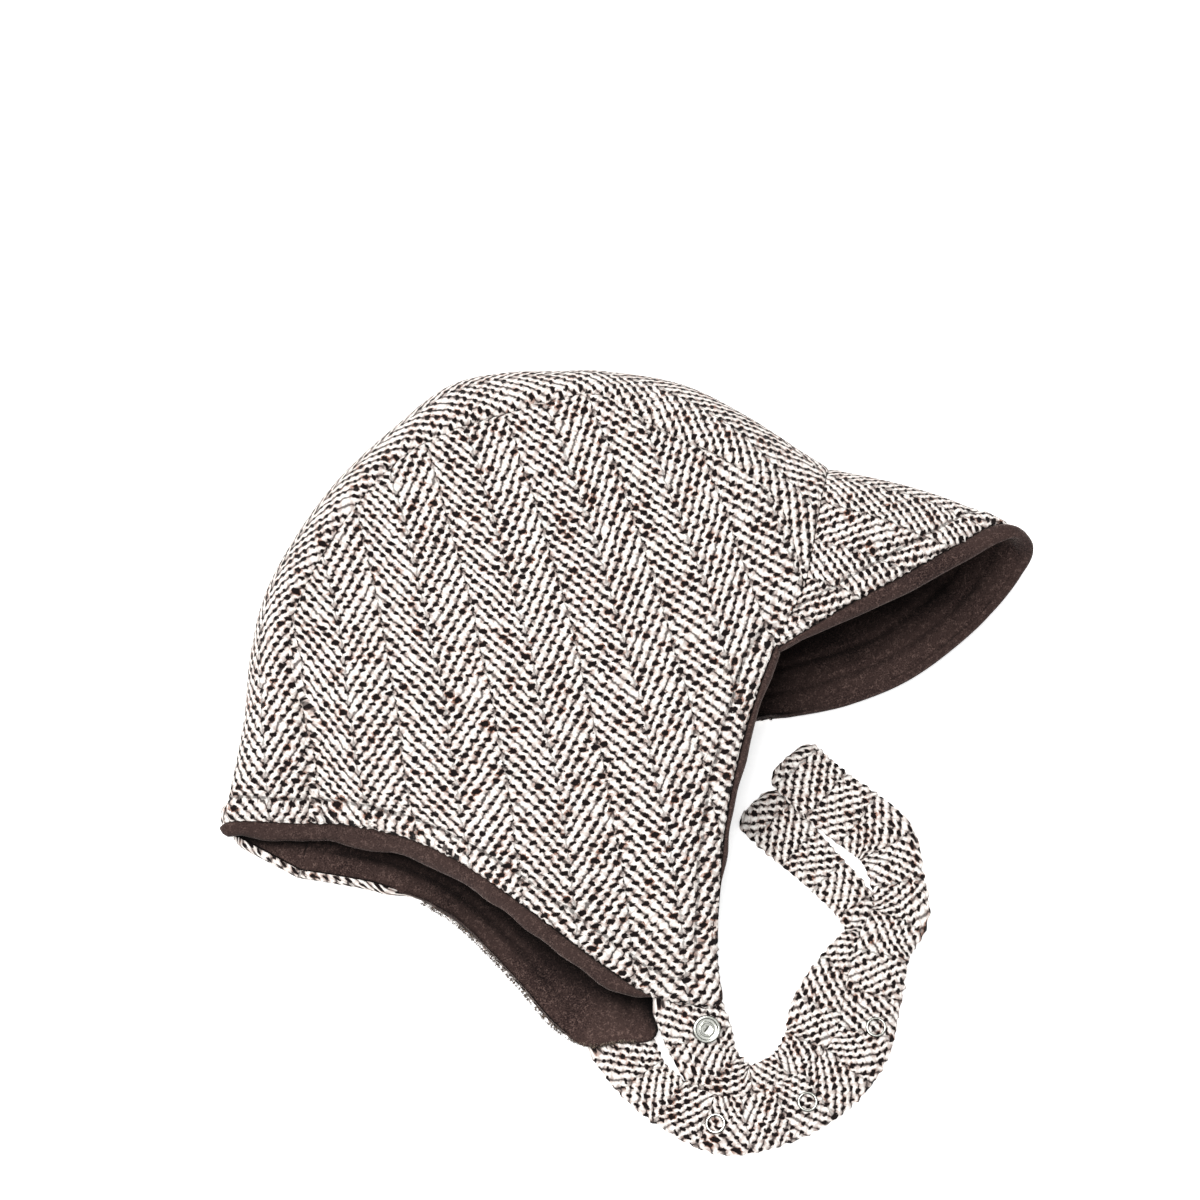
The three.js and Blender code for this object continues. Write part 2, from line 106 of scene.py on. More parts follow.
class Section(NamedTuple):
    """One section across the crown, from the back rim over the top to the forehead rim.

    The fold is the outermost point. The seams join the centre strip to the side panels, and the edges are
    where the side panels end. A roll is how far the fleece turns out past the tweed.
    """

    fold: tuple[float, float, float]
    seam: tuple[float, float, float]
    under: tuple[float, float, float]
    right: tuple[float, float, float]
    right_roll: float
    left: tuple[float, float, float]
    left_roll: float


SECTIONS = (
    Section((-176.5, 33, 7.5), (-143, 19, 15), (-152, 5, 0), (-143, 19, 15), 9, (-152, 5, 0), 0),
    Section((-168, 45, 11), (-138, 36, 24), (-136, 26, 0), (-131, 12.5, 20), 10.5, (-139.5, -2, 0), 0),
    Section((-153, 70, 16), (-132, 59, 34), (-123, 51, 0), (-113, 0, 25), 10, (-122, -13, 0), 0),
    Section((-142, 93, 20), (-128, 86, 42), (-112, 78, 0), (-97, -16, 30), 10, (-105, -30, 1), 2.5),
    Section((-126, 116, 24), (-118, 101, 47), (-104, 93, 0), (-81, -38, 33), 9, (-93, -50, 0), 2),
    Section((-89, 145, 27), (-90, 125, 52), (-73, 119, 0), (-64, -63, 31), 7.5, (-84, -71.5, 0), 2),
    Section((-53, 161, 29), (-58, 142, 55), (-43, 134, 0), (-46, -87, 22), 7, (-76, -93, 0), 2),
    Section((-27, 169, 30), (-36, 145, 57), (-24, 141, 0), (-36, -98, 16), 2.5, (-67, -104, 0), 0),
    Section((-4, 166, 30), (-14, 144, 58), (-10, 139, 0), (-25, -104, 13), 0, (-54, -107, 0), 0),
    Section((16, 159, 30), (7, 143, 58), (7, 133, 0), (-12, -109, 12), 0, (-41, -110, 0), 0),
    Section((32, 153, 30), (27, 138, 59), (20, 128, 0), (-5, -90, 19), 1, (-33, -90, 0), 3),
    Section((62, 137, 29), (46, 115, 58), (44, 115, 0), (10, -54, 31), 4, (-10, -51, 0), 5),
    Section((83, 115, 28), (64, 97, 57), (60, 95, 0), (29, -21, 39), 5, (12, -21, 0), 5),
    Section((99, 94, 26), (80, 72, 54), (71, 72, 0), (57, 15, 46), 5, (35, 2, 0), 0),
    Section((107, 84, 24), (79, 36, 50), (83, 42, 0), (79, 36, 50), 0, (83, 42, 0), 0),
)
LAST_SECTION = len(SECTIONS) - 1
# The share of the sections that lies behind the start of the peak.
TEMPLE = 13 / LAST_SECTION
# Between which sections a strap is sewn on, the left tweed's curl ends and the fleece's roll ends.
FLAP_TIP = (7, 9)
CURL_END = (2.0, 2.9)
ROLL_STOP = (13.0, 13.25)


class Dent(NamedTuple):
    """A soft hollow pressed into the upper side."""

    x: float
    y: float
    reach: float
    depth: float


DENTS = (Dent(-98, 88, 22, 2.5), Dent(-30, 132, 16, 2.5), Dent(58, 74, 24, 2), Dent(-40, -30, 34, 2.5))
# How high the upper side swells, and how it falls to its edge.
DOME = 11.0
DOME_SPAN = 270.0
DOME_POWER = 1.5
DENT_FADE = 4.0
DROOP = 1.8
EDGE_CURL = 6


class EdgePoint(NamedTuple):
    """A point on the tweed edge of the peak, from the right temple round the tip to the left one."""

    x: float
    y: float
    z: float
    roll: float


PEAK_EDGE = (
    EdgePoint(57, 15, 46, 3.5),
    EdgePoint(70, 18, 47, 4),
    EdgePoint(94, 23, 47, 7),
    EdgePoint(119, 27.5, 45, 8),
    EdgePoint(143, 33, 41, 8),
    EdgePoint(165, 38, 32, 8),
    EdgePoint(171, 31, 18, 7),
    EdgePoint(166, 24, 9, 5),
    EdgePoint(149, 12, 2, 4),
    EdgePoint(128, 3, 0.5, 4),
    EdgePoint(106, -3, 0.5, 4),
    EdgePoint(81, -4, 0.5, 4),
    EdgePoint(57, -2, 0.5, 3),
    EdgePoint(35, 2, 0.5, 0),
)
# The share of its root that the peak leaves free at each end, and how high it swells.
PEAK_TRIM = 0.012
PEAK_BULGE = 3.0
# How much finer the weave of the peak and the straps is.
FINE_WEAVE = 1.12


class StrapPoint(NamedTuple):
    """A point on the middle of a strap, its width and the heights of its underside across."""

    x: float
    y: float
    width: float
    outer: float
    middle: float
    inner: float


STRAPS = {
    Side.RIGHT: (
        StrapPoint(-24, -102, 27, 9, 9, 9),
        StrapPoint(-23.5, -117, 27, 5, 5, 5),
        StrapPoint(-22.5, -130, 23, 1, 1, 1),
        StrapPoint(-14, -145, 22, 0, 0, 0),
        StrapPoint(6, -145, 22, 0, 0, 0),
        StrapPoint(19, -136, 23, 0, 0, 0),
        StrapPoint(27, -124, 24, 0, 0, 0),
        StrapPoint(36, -115, 22, 0, 0, 0),
        StrapPoint(45.5, -108, 20, 0, 0, 0),
        StrapPoint(57, -99.5, 18, 0, 0, 0),
        StrapPoint(56, -87, 16, 0, 0, 0),
        StrapPoint(47.5, -66, 18, 0, 0, 0),
        StrapPoint(39, -48, 21, 0, 0, 0),
        StrapPoint(31.5, -32, 22, 0, 0, 0),
    ),
    Side.LEFT: (
        StrapPoint(-54, -108, 26, 0.5, 0.5, 0.5),
        StrapPoint(-50.5, -126, 21, 0, 0, 0),
        StrapPoint(-41, -142.5, 20, 0, 0.8, 3.4),
        StrapPoint(-27.5, -155.5, 22, 0, 2.4, 4.8),
        StrapPoint(-16, -159, 22, 0, 2.8, 4.6),
        StrapPoint(6, -159, 22, 0, 2.8, 4.6),
        StrapPoint(25, -153, 22, 0, 2, 4),
        StrapPoint(38.5, -143, 22, 0, 1.4, 3.4),
        StrapPoint(46.5, -130.5, 22, 0, 1.4, 3.6),
        StrapPoint(53, -120, 22, 0, 2.8, 4.6),
        StrapPoint(61, -107.5, 21, 1.6, 3.4, 4),
        StrapPoint(72, -97, 22, 0.6, 3, 4),
        StrapPoint(76, -81, 21, 0, 1, 2.6),
        StrapPoint(76.5, -65.5, 25, 0, 0, 0.6),
        StrapPoint(67.5, -50, 26, 0, 0.6, 2.8),
        StrapPoint(60, -38, 25, 0, 1.2, 3.6),
        StrapPoint(51, -19, 24, 0, 1.2, 3.6),
    ),
}


class Turn(NamedTuple):
    """One step of a rim as it turns: how far past the edge, and how deep, its two faces lie."""

    past_top: float
    top: float
    past_bottom: float
    bottom: float


FLEECE_ROLL = (
    Turn(0.4, 1.3, 0.4, 4.8),
    Turn(1.0, 0.5, 1.0, 4.9),
    Turn(1.8, 0.0, 1.8, 5.0),
    Turn(2.8, -0.1, 2.8, 4.9),
    Turn(3.8, 0.3, 3.8, 4.6),
)
# How long a roll is when it is fully round, and how much of it is its rounded end.
ROUND_ROLL = 4.0
ROLL_END = 2.1
# How far apart the rows of a rim lie where it doesn't turn.
STRAIGHT_STEP = 0.05
TWEED_CURL = (
    Turn(1.5, 0.1, 1.2, 1.6),
    Turn(3.0, 0.9, 2.0, 2.2),
    Turn(3.9, 2.4, 2.4, 3.0),
    Turn(3.9, 4.0, 2.4, 3.9),
    Turn(3.2, 5.4, 2.0, 4.6),
    Turn(2.2, 6.2, 1.5, 5.0),
)
# How far the weave runs aside for each millimetre round a curl.
CURL_SLANT = 0.7


class Curve:
    """A smooth line through points, with its knots spaced by the root of their distance."""

    def __init__(self, points: Sequence[Sequence[float]]) -> None:
        """Keeps the points.

        Args:
            points: The places that the line goes through, in order.
        """
        self.points = np.asarray(points, float)

    def at(self, share: Array) -> Array:
        """Finds places on the line.

        Args:
            share: Where to look, from 0 at the first point to 1 at the last, each span counting the same.

        Returns:
            One row for each share.
        """
        first, last = self.points[:2], self.points[-2:]
        padded = np.vstack([2 * first[0] - first[1], self.points, 2 * last[1] - last[0]])
        place = np.clip(np.atleast_1d(share), 0, 1) * (len(self.points) - 1)
        i = np.minimum(place.astype(int), len(self.points) - 2)
        w = (place - i)[:, None]
        p0, p1, p2, p3 = (padded[i + k] for k in range(4))
        knot = [np.maximum(np.linalg.norm(b - a, axis=1) ** 0.5, 1e-4)[:, None] for a, b in
                ((p0, p1), (p1, p2), (p2, p3))]
        a, b, c = knot
        leave = ((p1 - p0) / a - (p2 - p0) / (a + b) + (p2 - p1) / b) * b
        arrive = ((p2 - p1) / b - (p3 - p1) / (b + c) + (p3 - p2) / c) * b
        bend = -3 * p1 + 3 * p2 - 2 * leave - arrive
        twist = 2 * p1 - 2 * p2 + leave + arrive
        return p1 + leave * w + bend * w**2 + twist * w**3

    def even(self, portion: Array) -> Array:
        """Returns the shares that lie at portions of the line's length."""
        return np.interp(portion, np.linspace(0, 1, FINE), evenly([self], FINE))


def evenly(curves: Sequence[Curve], count: int) -> Array:
    """Finds shares that step evenly along the mean of several lines.

    Args:
        curves: The lines, all of the same number of spans.
        count: How many shares.

    Returns:
        The shares, from 0 to 1.
    """
    dense = np.linspace(0, 1, FINE)
    steps = sum(np.linalg.norm(np.diff(curve.at(dense), axis=0), axis=1) for curve in curves)
    along = np.concatenate([[0.0], np.cumsum(steps)])
    return np.interp(np.linspace(0, along[-1], count), along, dense)


def unit(vectors: Array) -> Array:
    """Returns vectors of length 1 in the same directions, or zero where there was none."""
    length = np.linalg.norm(vectors, axis=-1, keepdims=True)
    return vectors / np.maximum(length, 1e-9)


def ease(value: Array, low: float, high: float) -> Array:
    """Returns a smooth step that is 0 at low and 1 at high, whichever is larger."""
    share = np.clip((np.asarray(value, float) - low) / (high - low), 0, 1)
    return share * share * (3 - 2 * share)


def bump(distance: Array, middle: float, width: float) -> Array:
    """Returns a soft ridge of height 1 about a distance."""
    return np.exp(-(((distance - middle) / width) ** 2))


def columns_at(values: Array, at: Array, knots: Sequence[float]) -> Array:
    """Returns rows of a table at places between its knots."""
    return np.stack([np.interp(at, knots, column) for column in values.T], -1)


def field_at(rows: Sequence[NamedTuple], name: str, place: Array) -> Array:
    """Returns one field of a table's rows at places counted in rows."""
    return np.interp(place, range(len(rows)), [getattr(row, name) for row in rows])


def smoothed(directions: Array, rounds: int) -> Array:
    """Averages unit vectors along a line with their neighbours.

    Args:
        directions: The vectors, in order.
        rounds: How many times.

    Returns:
        The smoother vectors.
    """
    for _ in range(rounds):
        padded = np.pad(directions, ((1, 1), (0, 0)), mode="edge")
        directions = unit(padded[:-2] + 2 * directions + padded[2:])
    return directions


def along_line(line: Array) -> Array:
    """Returns how far along a line of points each of them is."""
    return np.concatenate([[0.0], np.cumsum(np.linalg.norm(np.diff(line, axis=0), axis=1))])


def near(places: Array, line: Array) -> tuple[Array, Array]:
    """Measures a grid of places against a line.

    Args:
        places: The grid.
        line: Points along the line, about a millimetre apart.

    Returns:
        How far each place is from the line, and how far along the line its nearest point is.
    """
    tree = KDTree(len(line))
    for index, point in enumerate(line):
        tree.insert(point, index)
    tree.balance()
    along = along_line(line)
    found = [tree.find(place)[1:] for place in places.reshape(-1, 3)]
    shape = places.shape[:2]
    distance = np.array([gap for _, gap in found]).reshape(shape)
    return distance, along[[index for index, _ in found]].reshape(shape)


# What keeps a sum of waves mostly between -1 and 1.
CALM = 0.8


class Ripples:
    """Smooth random unevenness, made of a few waves of mixed lengths and directions."""

    def __init__(self, seed: int, shortest: float, longest: float, count: int = 9) -> None:
        """Draws the waves.

        Args:
            seed: Which unevenness.
            shortest: The shortest wave, in millimetres.
            longest: The longest wave, in millimetres.
            count: How many waves.
        """
        draw = np.random.default_rng(seed)
        turn = draw.uniform(0, 2 * math.pi, count)
        pitch = 2 * math.pi / draw.uniform(shortest, longest, count)
        self.across = pitch * np.cos(turn)
        self.up = pitch * np.sin(turn)
        self.pitch = pitch
        self.phase = draw.uniform(0, 2 * math.pi, count)

    def over(self, x: Array, y: Array) -> Array:
        """Returns the unevenness over a plane, mostly from -1 to 1."""
        waves = np.sin(x[..., None] * self.across + y[..., None] * self.up + self.phase)
        return waves.sum(-1) / math.sqrt(len(self.phase)) * CALM

    def along(self, distance: Array) -> Array:
        """Returns the unevenness along a line, mostly from -1 to 1."""
        waves = np.sin(distance[..., None] * self.pitch + self.phase)
        return waves.sum(-1) / math.sqrt(len(self.phase)) * CALM


def facing(places: Array, soften: int) -> Array:
    """Finds the direction out of the cloth at each place of a grid.

    Args:
        places: The grid, with rows from the right side to the left and columns from back to front.
        soften: How many times the directions are averaged with their neighbours.

    Returns:
        Unit vectors.
    """
    direction = unit(np.cross(np.gradient(places, axis=1), np.gradient(places, axis=0)))
    for here, inside in ((0, 1), (-1, -2)):
        empty = np.linalg.norm(direction[:, here], axis=1) < 0.5
        direction[empty, here] = direction[empty, inside]
    for _ in range(soften):
        for axis in (0, 1):
            padded = np.pad(direction, [(1, 1) if k == axis else (0, 0) for k in range(3)], mode="edge")
            before = np.take(padded, range(0, padded.shape[axis] - 2), axis)
            after = np.take(padded, range(2, padded.shape[axis]), axis)
            direction = unit(before + 2 * direction + after)
    return direction


# How many times every link is pulled back towards its own length.
PULLS = 500


def laid_flat(places: Array, start: Array) -> Array:
    """Lays a curved grid out on a plane, as a cut piece of cloth lies before it is sewn.

    Args:
        places: The grid on the hat.
        start: A first guess of each place on the plane.

    Returns:
        The places on the plane.
    """
    ends = (np.s_[:-1, :], np.s_[1:, :]), (np.s_[:, :-1], np.s_[:, 1:])
    ends += (np.s_[:-1, :-1], np.s_[1:, 1:]), (np.s_[:-1, 1:], np.s_[1:, :-1])
    lengths = [np.linalg.norm(places[b] - places[a], axis=2) for a, b in ends]
    share = np.zeros(places.shape[:2])
    for a, b in ends:
        share[a] += 1
        share[b] += 1
    flat = start.copy()
    for _ in range(PULLS):
        move = np.zeros_like(flat)
        for (a, b), length in zip(ends, lengths):
            gap = flat[b] - flat[a]
            now = np.maximum(np.linalg.norm(gap, axis=2), 1e-6)
            pull = gap * ((now - length) / now / 2)[..., None]
            move[a] += pull
            move[b] -= pull
        flat += move / share[..., None]
    return flat


def resampled(values: Array, rows: int, columns: int) -> Array:
    """Stretches a coarse grid of values over a finer one.

    Args:
        values: The coarse grid.
        rows: Rows wanted.
        columns: Columns wanted.

    Returns:
        The finer grid.
    """
    high, wide = values.shape[:2]
    down = np.linspace(0, high - 1, rows)
    across = np.linspace(0, wide - 1, columns)
    i = np.minimum(down.astype(int), high - 2)
    j = np.minimum(across.astype(int), wide - 2)
    v, u = (down - i)[:, None, None], (across - j)[None, :, None]
    upper = values[i][:, j] * (1 - u) + values[i][:, j + 1] * u
    lower = values[i + 1][:, j] * (1 - u) + values[i + 1][:, j + 1] * u
    return upper * (1 - v) + lower * v


def cut_pattern(places: Array, guess: Array, rows: int, columns: int) -> Array:
    """Finds the flat cloth that a grid was cut from, on a coarser grid that it then fills in.

    Args:
        places: The grid on the hat.
        guess: A first guess of each place on the flat cloth.
        rows: How many rows the coarser grid steps over.
        columns: How many columns it steps over.

    Returns:
        The place on the flat cloth of each point of the grid.
    """
    flat = laid_flat(places[::rows, ::columns], guess[::rows, ::columns])
    return resampled(flat, *places.shape[:2])


@dataclass
class Sheet:
    """A piece of cloth as a grid, whose last row is the free rim.

    The pattern is the place of each point on the flat cloth, and out points off the free rim.
    """

    places: Array
    normals: Array
    pattern: Array
    out: Array | None = None

    def sunk(self, depth: Array | float) -> Array:
        """Returns the places of the grid at a depth under its outer face."""
        return self.places - self.normals * np.broadcast_to(depth, self.places.shape[:2])[..., None]

    def coarser(self) -> Sheet:
        """Returns every second row and column of the sheet."""
        return Sheet(self.places[::2, ::2], self.normals[::2, ::2], self.pattern[::2, ::2], self.out[::2])


@dataclass
class Skin:
    """The two faces of a cloth piece, and how full its rims are at its seams. Its free rim is full.

    The weave is the place of each point in the cloth's pattern. The sewing is how far each point is along a
    turned edge, and how far in from it.
    """

    top: Array
    bottom: Array
    weave: Array
    sewing: Array
    fullness: float = 1.0

    def turned(
        self, sheet: Sheet, turns: Sequence[Turn], amount: Array, length: Array, slant: float = 0.0
    ) -> Skin:
        """Adds the rows of a rim that turns past the edge.

        Args:
            sheet: The sheet that the faces come from.
            turns: The steps of the turn.
            amount: How fully it turns at each column, from 0 to 1.
            length: How long the turn is at each column, as a share of its steps.
            slant: How far the weave runs aside as it goes round the turn.

        Returns:
            The longer skin.
        """
        place, normal, out = sheet.places[-1], sheet.normals[-1], sheet.out
        rest_top = ((place - self.top[-1]) * normal).sum(1)
        rest_bottom = ((place - self.bottom[-1]) * normal).sum(1)
        away = unit(self.weave[-1] - self.weave[-2])
        aside = unit(np.gradient(self.weave[-1], axis=0)) * slant
        tops, bottoms, weaves, sewing = [self.top], [self.bottom], [self.weave], [self.sewing]
        arc, before = 0.0, Turn(0.0, turns[0].top, 0.0, 0.0)
        for step, turn in enumerate(turns, 1):
            high = rest_top + (turn.top - rest_top) * amount
            low = rest_bottom + (turn.bottom - rest_bottom) * amount
            straight = step * STRAIGHT_STEP * (1 - amount)
            past_top = straight + turn.past_top * length * amount
            past_bottom = straight + turn.past_bottom * length * amount
            tops.append((place + out * past_top[:, None] - normal * high[:, None])[None])
            bottoms.append((place + out * past_bottom[:, None] - normal * low[:, None])[None])
            arc = arc + np.hypot((turn.past_top - before.past_top) * length, turn.top - before.top) * amount
            before = turn
            weaves.append((self.weave[-1] + (away + aside) * (straight + arc)[:, None])[None])
            sewing.append((self.sewing[-1] - np.stack([0 * past_top, past_top], -1))[None])
        faces = (np.concatenate(rows) for rows in (tops, bottoms, weaves, sewing))
        return Skin(*faces, self.fullness)


def border(rows: int, columns: int) -> list[tuple[int, int]]:
    """Lists the places round a grid.

    Args:
        rows: How many rows it has.
        columns: How many columns it has.

    Returns:
        The row and column of each place, in order.
    """
    ahead = [(0, j) for j in range(columns)] + [(i, columns - 1) for i in range(1, rows)]
    back = [(rows - 1, j) for j in range(columns - 2, -1, -1)] + [(i, 0) for i in range(rows - 2, 0, -1)]
    return ahead + back


def outwards(grid: Array, edge: Sequence[tuple[int, int]]) -> Array:
    """Finds the direction off a grid, along it, at its border.

    Args:
        grid: The grid.
        edge: The places of its border.

    Returns:
        A unit vector for each of those places.
    """
    rows, columns = grid.shape[:2]
    result = np.zeros((len(edge), grid.shape[2]))
    for k, (i, j) in enumerate(edge):
        if i in (0, rows - 1):
            result[k] += unit(grid[i, j] - grid[1 if i == 0 else rows - 2, j])
        if j in (0, columns - 1):
            result[k] += unit(grid[i, j] - grid[i, 1 if j == 0 else columns - 2])
    return unit(result)


# How many rows of points go round a rim.
RIM_STEPS = 3
# How far past its edge a loose fibre is said to be, so that the finish can tell it from the fleece.
FRINGE_MARK = 100.0


class Tufts(NamedTuple):
    """Loose fibres, each a thin three-sided spike of four places."""

    places: Array
    cloth: Array

    def faces(self, first: int) -> Array:
        """Lists the sides of the spikes.

        Args:
            first: The number of the first spike's first vertex.

        Returns:
            Three vertex numbers for each side.
        """
        corner = first + 4 * np.arange(len(self.places) // 4)[:, None, None]
        sides = np.array([(0, 1, 3), (1, 2, 3), (2, 0, 3), (2, 1, 0)])
        return (corner + sides).reshape(-1, 3)


@dataclass
class Fringe:
    """The fuzz of loose fibres along a rim of fleece, in clumps. Lengths are in millimetres.

    It runs from the first share of the rim to the last. A fibre is rooted on the rim's round, at a random
    tilt in radians and a share of its half thickness out, and its lean is flattened.
    """

    first: float
    last: float
    count: int = 1500
    seed: int = Seed.FRINGE
    shortest: float = 0.5
    longest: float = 1.8
    width: float = 0.3
    clump: int = 6
    clump_spread: float = 0.0012
    tilt: Span = (-0.2, 1.3)
    rooted: float = 0.9
    lean: float = 0.5
    flattened: float = 0.6

    def along(self, skin: Skin) -> Tufts:
        """Grows the fibres out of the free rim of a piece.

        Args:
            skin: The piece's faces.

        Returns:
            The fibres.
        """
        draw = np.random.default_rng(self.seed)
        columns = skin.top.shape[1]
        clumps = draw.uniform(self.first, self.last, self.count // self.clump)
        at = draw.choice(clumps, self.count) + draw.normal(0, self.clump_spread, self.count)
        at *= columns - 1
        near_rim = (skin.top[-1] + skin.bottom[-1]) / 2
        out = unit(np.cross(np.gradient(near_rim, axis=0), (0.0, 0.0, 1.0)))
        inside = near_rim - (skin.top[0] + skin.bottom[0]) / 2
        out *= np.sign((out * inside).sum(1, keepdims=True))
        half = np.linalg.norm(skin.top[-1] - skin.bottom[-1], axis=1) / 2
        root, away, cloth = (
            columns_at(values, at, range(columns)) for values in (near_rim, out, skin.weave[-1])
        )
        thick = np.interp(at, range(columns), half)
        tilt = draw.uniform(*self.tilt, self.count)
        up = np.array([0.0, 0.0, 1.0])
        side = unit(np.cross(away, up))
        turned = away * np.cos(tilt)[:, None] + up * np.sin(tilt)[:, None]
        root = root + turned * (thick * self.rooted)[:, None]
        lean = draw.normal(0, self.lean, (self.count, 2))
        grow = unit(away + side * lean[:, :1] + up * lean[:, 1:] * self.flattened)
        length = draw.uniform(0, 1, self.count) ** 2 * (self.longest - self.shortest) + self.shortest
        a = side * self.width / 2
        b = unit(np.cross(grow, side)) * self.width / 2
        spike = np.stack([root - a - b, root + a - b, root + b, root + grow * length[:, None]], 1)
        return Tufts(spike.reshape(-1, 3), np.repeat(cloth, 4, axis=0))


FRINGE = Fringe(0.15, 0.53)


def closed_mesh(name: str, skin: Skin, tufts: Tufts | None = None) -> bpy.types.Object:
    """Makes a closed cloth piece with rounded rims, pressed flat where it lies on the table.

    Args:
        name: The piece's name.
        skin: Its faces, in millimetres.
        tufts: Loose fibres that belong to it.

    Returns:
        The object, at the origin and in metres.
    """
    rows, columns = skin.top.shape[:2]
    edge = border(rows, columns)
    rim_index = np.array([i * columns + j for i, j in edge])
    top, bottom = skin.top.reshape(-1, 3), skin.bottom.reshape(-1, 3)
    weave, sewing = skin.weave.reshape(-1, 2), skin.sewing.reshape(-1, 2)
    out, away = outwards(skin.top, edge), outwards(skin.weave, edge)
    upper, lower = top[rim_index], bottom[rim_index]
    half = np.linalg.norm(upper - lower, axis=1, keepdims=True) / 2
    full = half * np.array([1.0 if i == rows - 1 else skin.fullness for i, _ in edge])[:, None]
    places, cloth, sewn = [top, bottom], [weave, weave], [sewing, sewing]
    for step in range(1, RIM_STEPS + 1):
        angle = math.pi * step / (RIM_STEPS + 1)
        turned = (upper + lower) / 2 + (upper - lower) / 2 * math.cos(angle) + out * full * math.sin(angle)
        places.append(turned)
        cloth.append(weave[rim_index] + away * full * angle)
        sewn.append(sewing[rim_index])
    grid = np.arange(rows * columns).reshape(rows, columns)
    a, b, c, d = grid[:-1, :-1], grid[:-1, 1:], grid[1:, 1:], grid[1:, :-1]
    outer = np.stack([a, b, c, d], -1).reshape(-1, 4)
    faces = [outer, outer[:, ::-1] + rows * columns]
    start = 2 * rows * columns
    rings = [rim_index] + [start + k * len(edge) + np.arange(len(edge)) for k in range(RIM_STEPS)]
    rings.append(rim_index + rows * columns)
    for first, second in zip(rings, rings[1:]):
        faces.append(np.stack([first, second, np.roll(second, -1), np.roll(first, -1)], -1))
    tables = [np.vstack(faces)]
    if tufts is not None:
        tables.append(tufts.faces(sum(len(part) for part in places)))
        places.append(tufts.places)
        cloth.append(tufts.cloth)
        sewn.append(np.full_like(tufts.cloth, -FRINGE_MARK))
    maps = {"cloth": np.vstack(cloth), "sewing": np.vstack(sewn)}
    laid = np.vstack(places)
    laid[:, 2] = np.maximum(laid[:, 2], 0)
    return mesh_object(name, laid, tables, maps)


def mesh_object(
    name: str, places: Array, faces: Sequence[Array], maps: dict[str, Array]
) -> bpy.types.Object:
    """Makes a mesh, joins the places that fall together and gives it its coordinates on the cloth.

    Args:
        name: The object's name.
        places: Vertices in the tables' millimetres.
        faces: Tables of vertex numbers, each with faces of one number of sides.
        maps: Two coordinates of each vertex for each map, in millimetres.

    Returns:
        The object.
    """
    mesh = bpy.data.meshes.new(name)
    sides = [face for table in faces for face in table.tolist()]
    mesh.from_pydata(((places + MIDDLE) * MM).tolist(), [], sides)
    corners = np.concatenate([table.reshape(-1) for table in faces])
    for title, values in maps.items():
        layer = mesh.uv_layers.new(name=title)
        layer.data.foreach_set("uv", (values[corners] * MM).ravel())
    work = bmesh.new()
    work.from_mesh(mesh)
    bmesh.ops.remove_doubles(work, verts=work.verts, dist=1e-7)
    bmesh.ops.recalc_face_normals(work, faces=work.faces)
    for face in work.faces:
        face.smooth = True
    work.to_mesh(mesh)
    work.free()
    piece = bpy.data.objects.new(name, mesh)
    bpy.context.scene.collection.objects.link(piece)
    return piece


# The gap from its stitches that a face without any is given.
UNSEWN = 200.0
# How far in from its upper seam the strip's weave starts.
SPINE_INSET = 17.0
# How far in from an edge its row of stitches lies, and how deep.
STITCH_INSET = 9.5
GROOVE = 1.3
# How deep a seam lies, how deep the peak's does, and how full the rims beside them are.
SEAM_DEPTH = 1.1
PEAK_SEAM = 0.35
SEWN_FULLNESS = 0.25


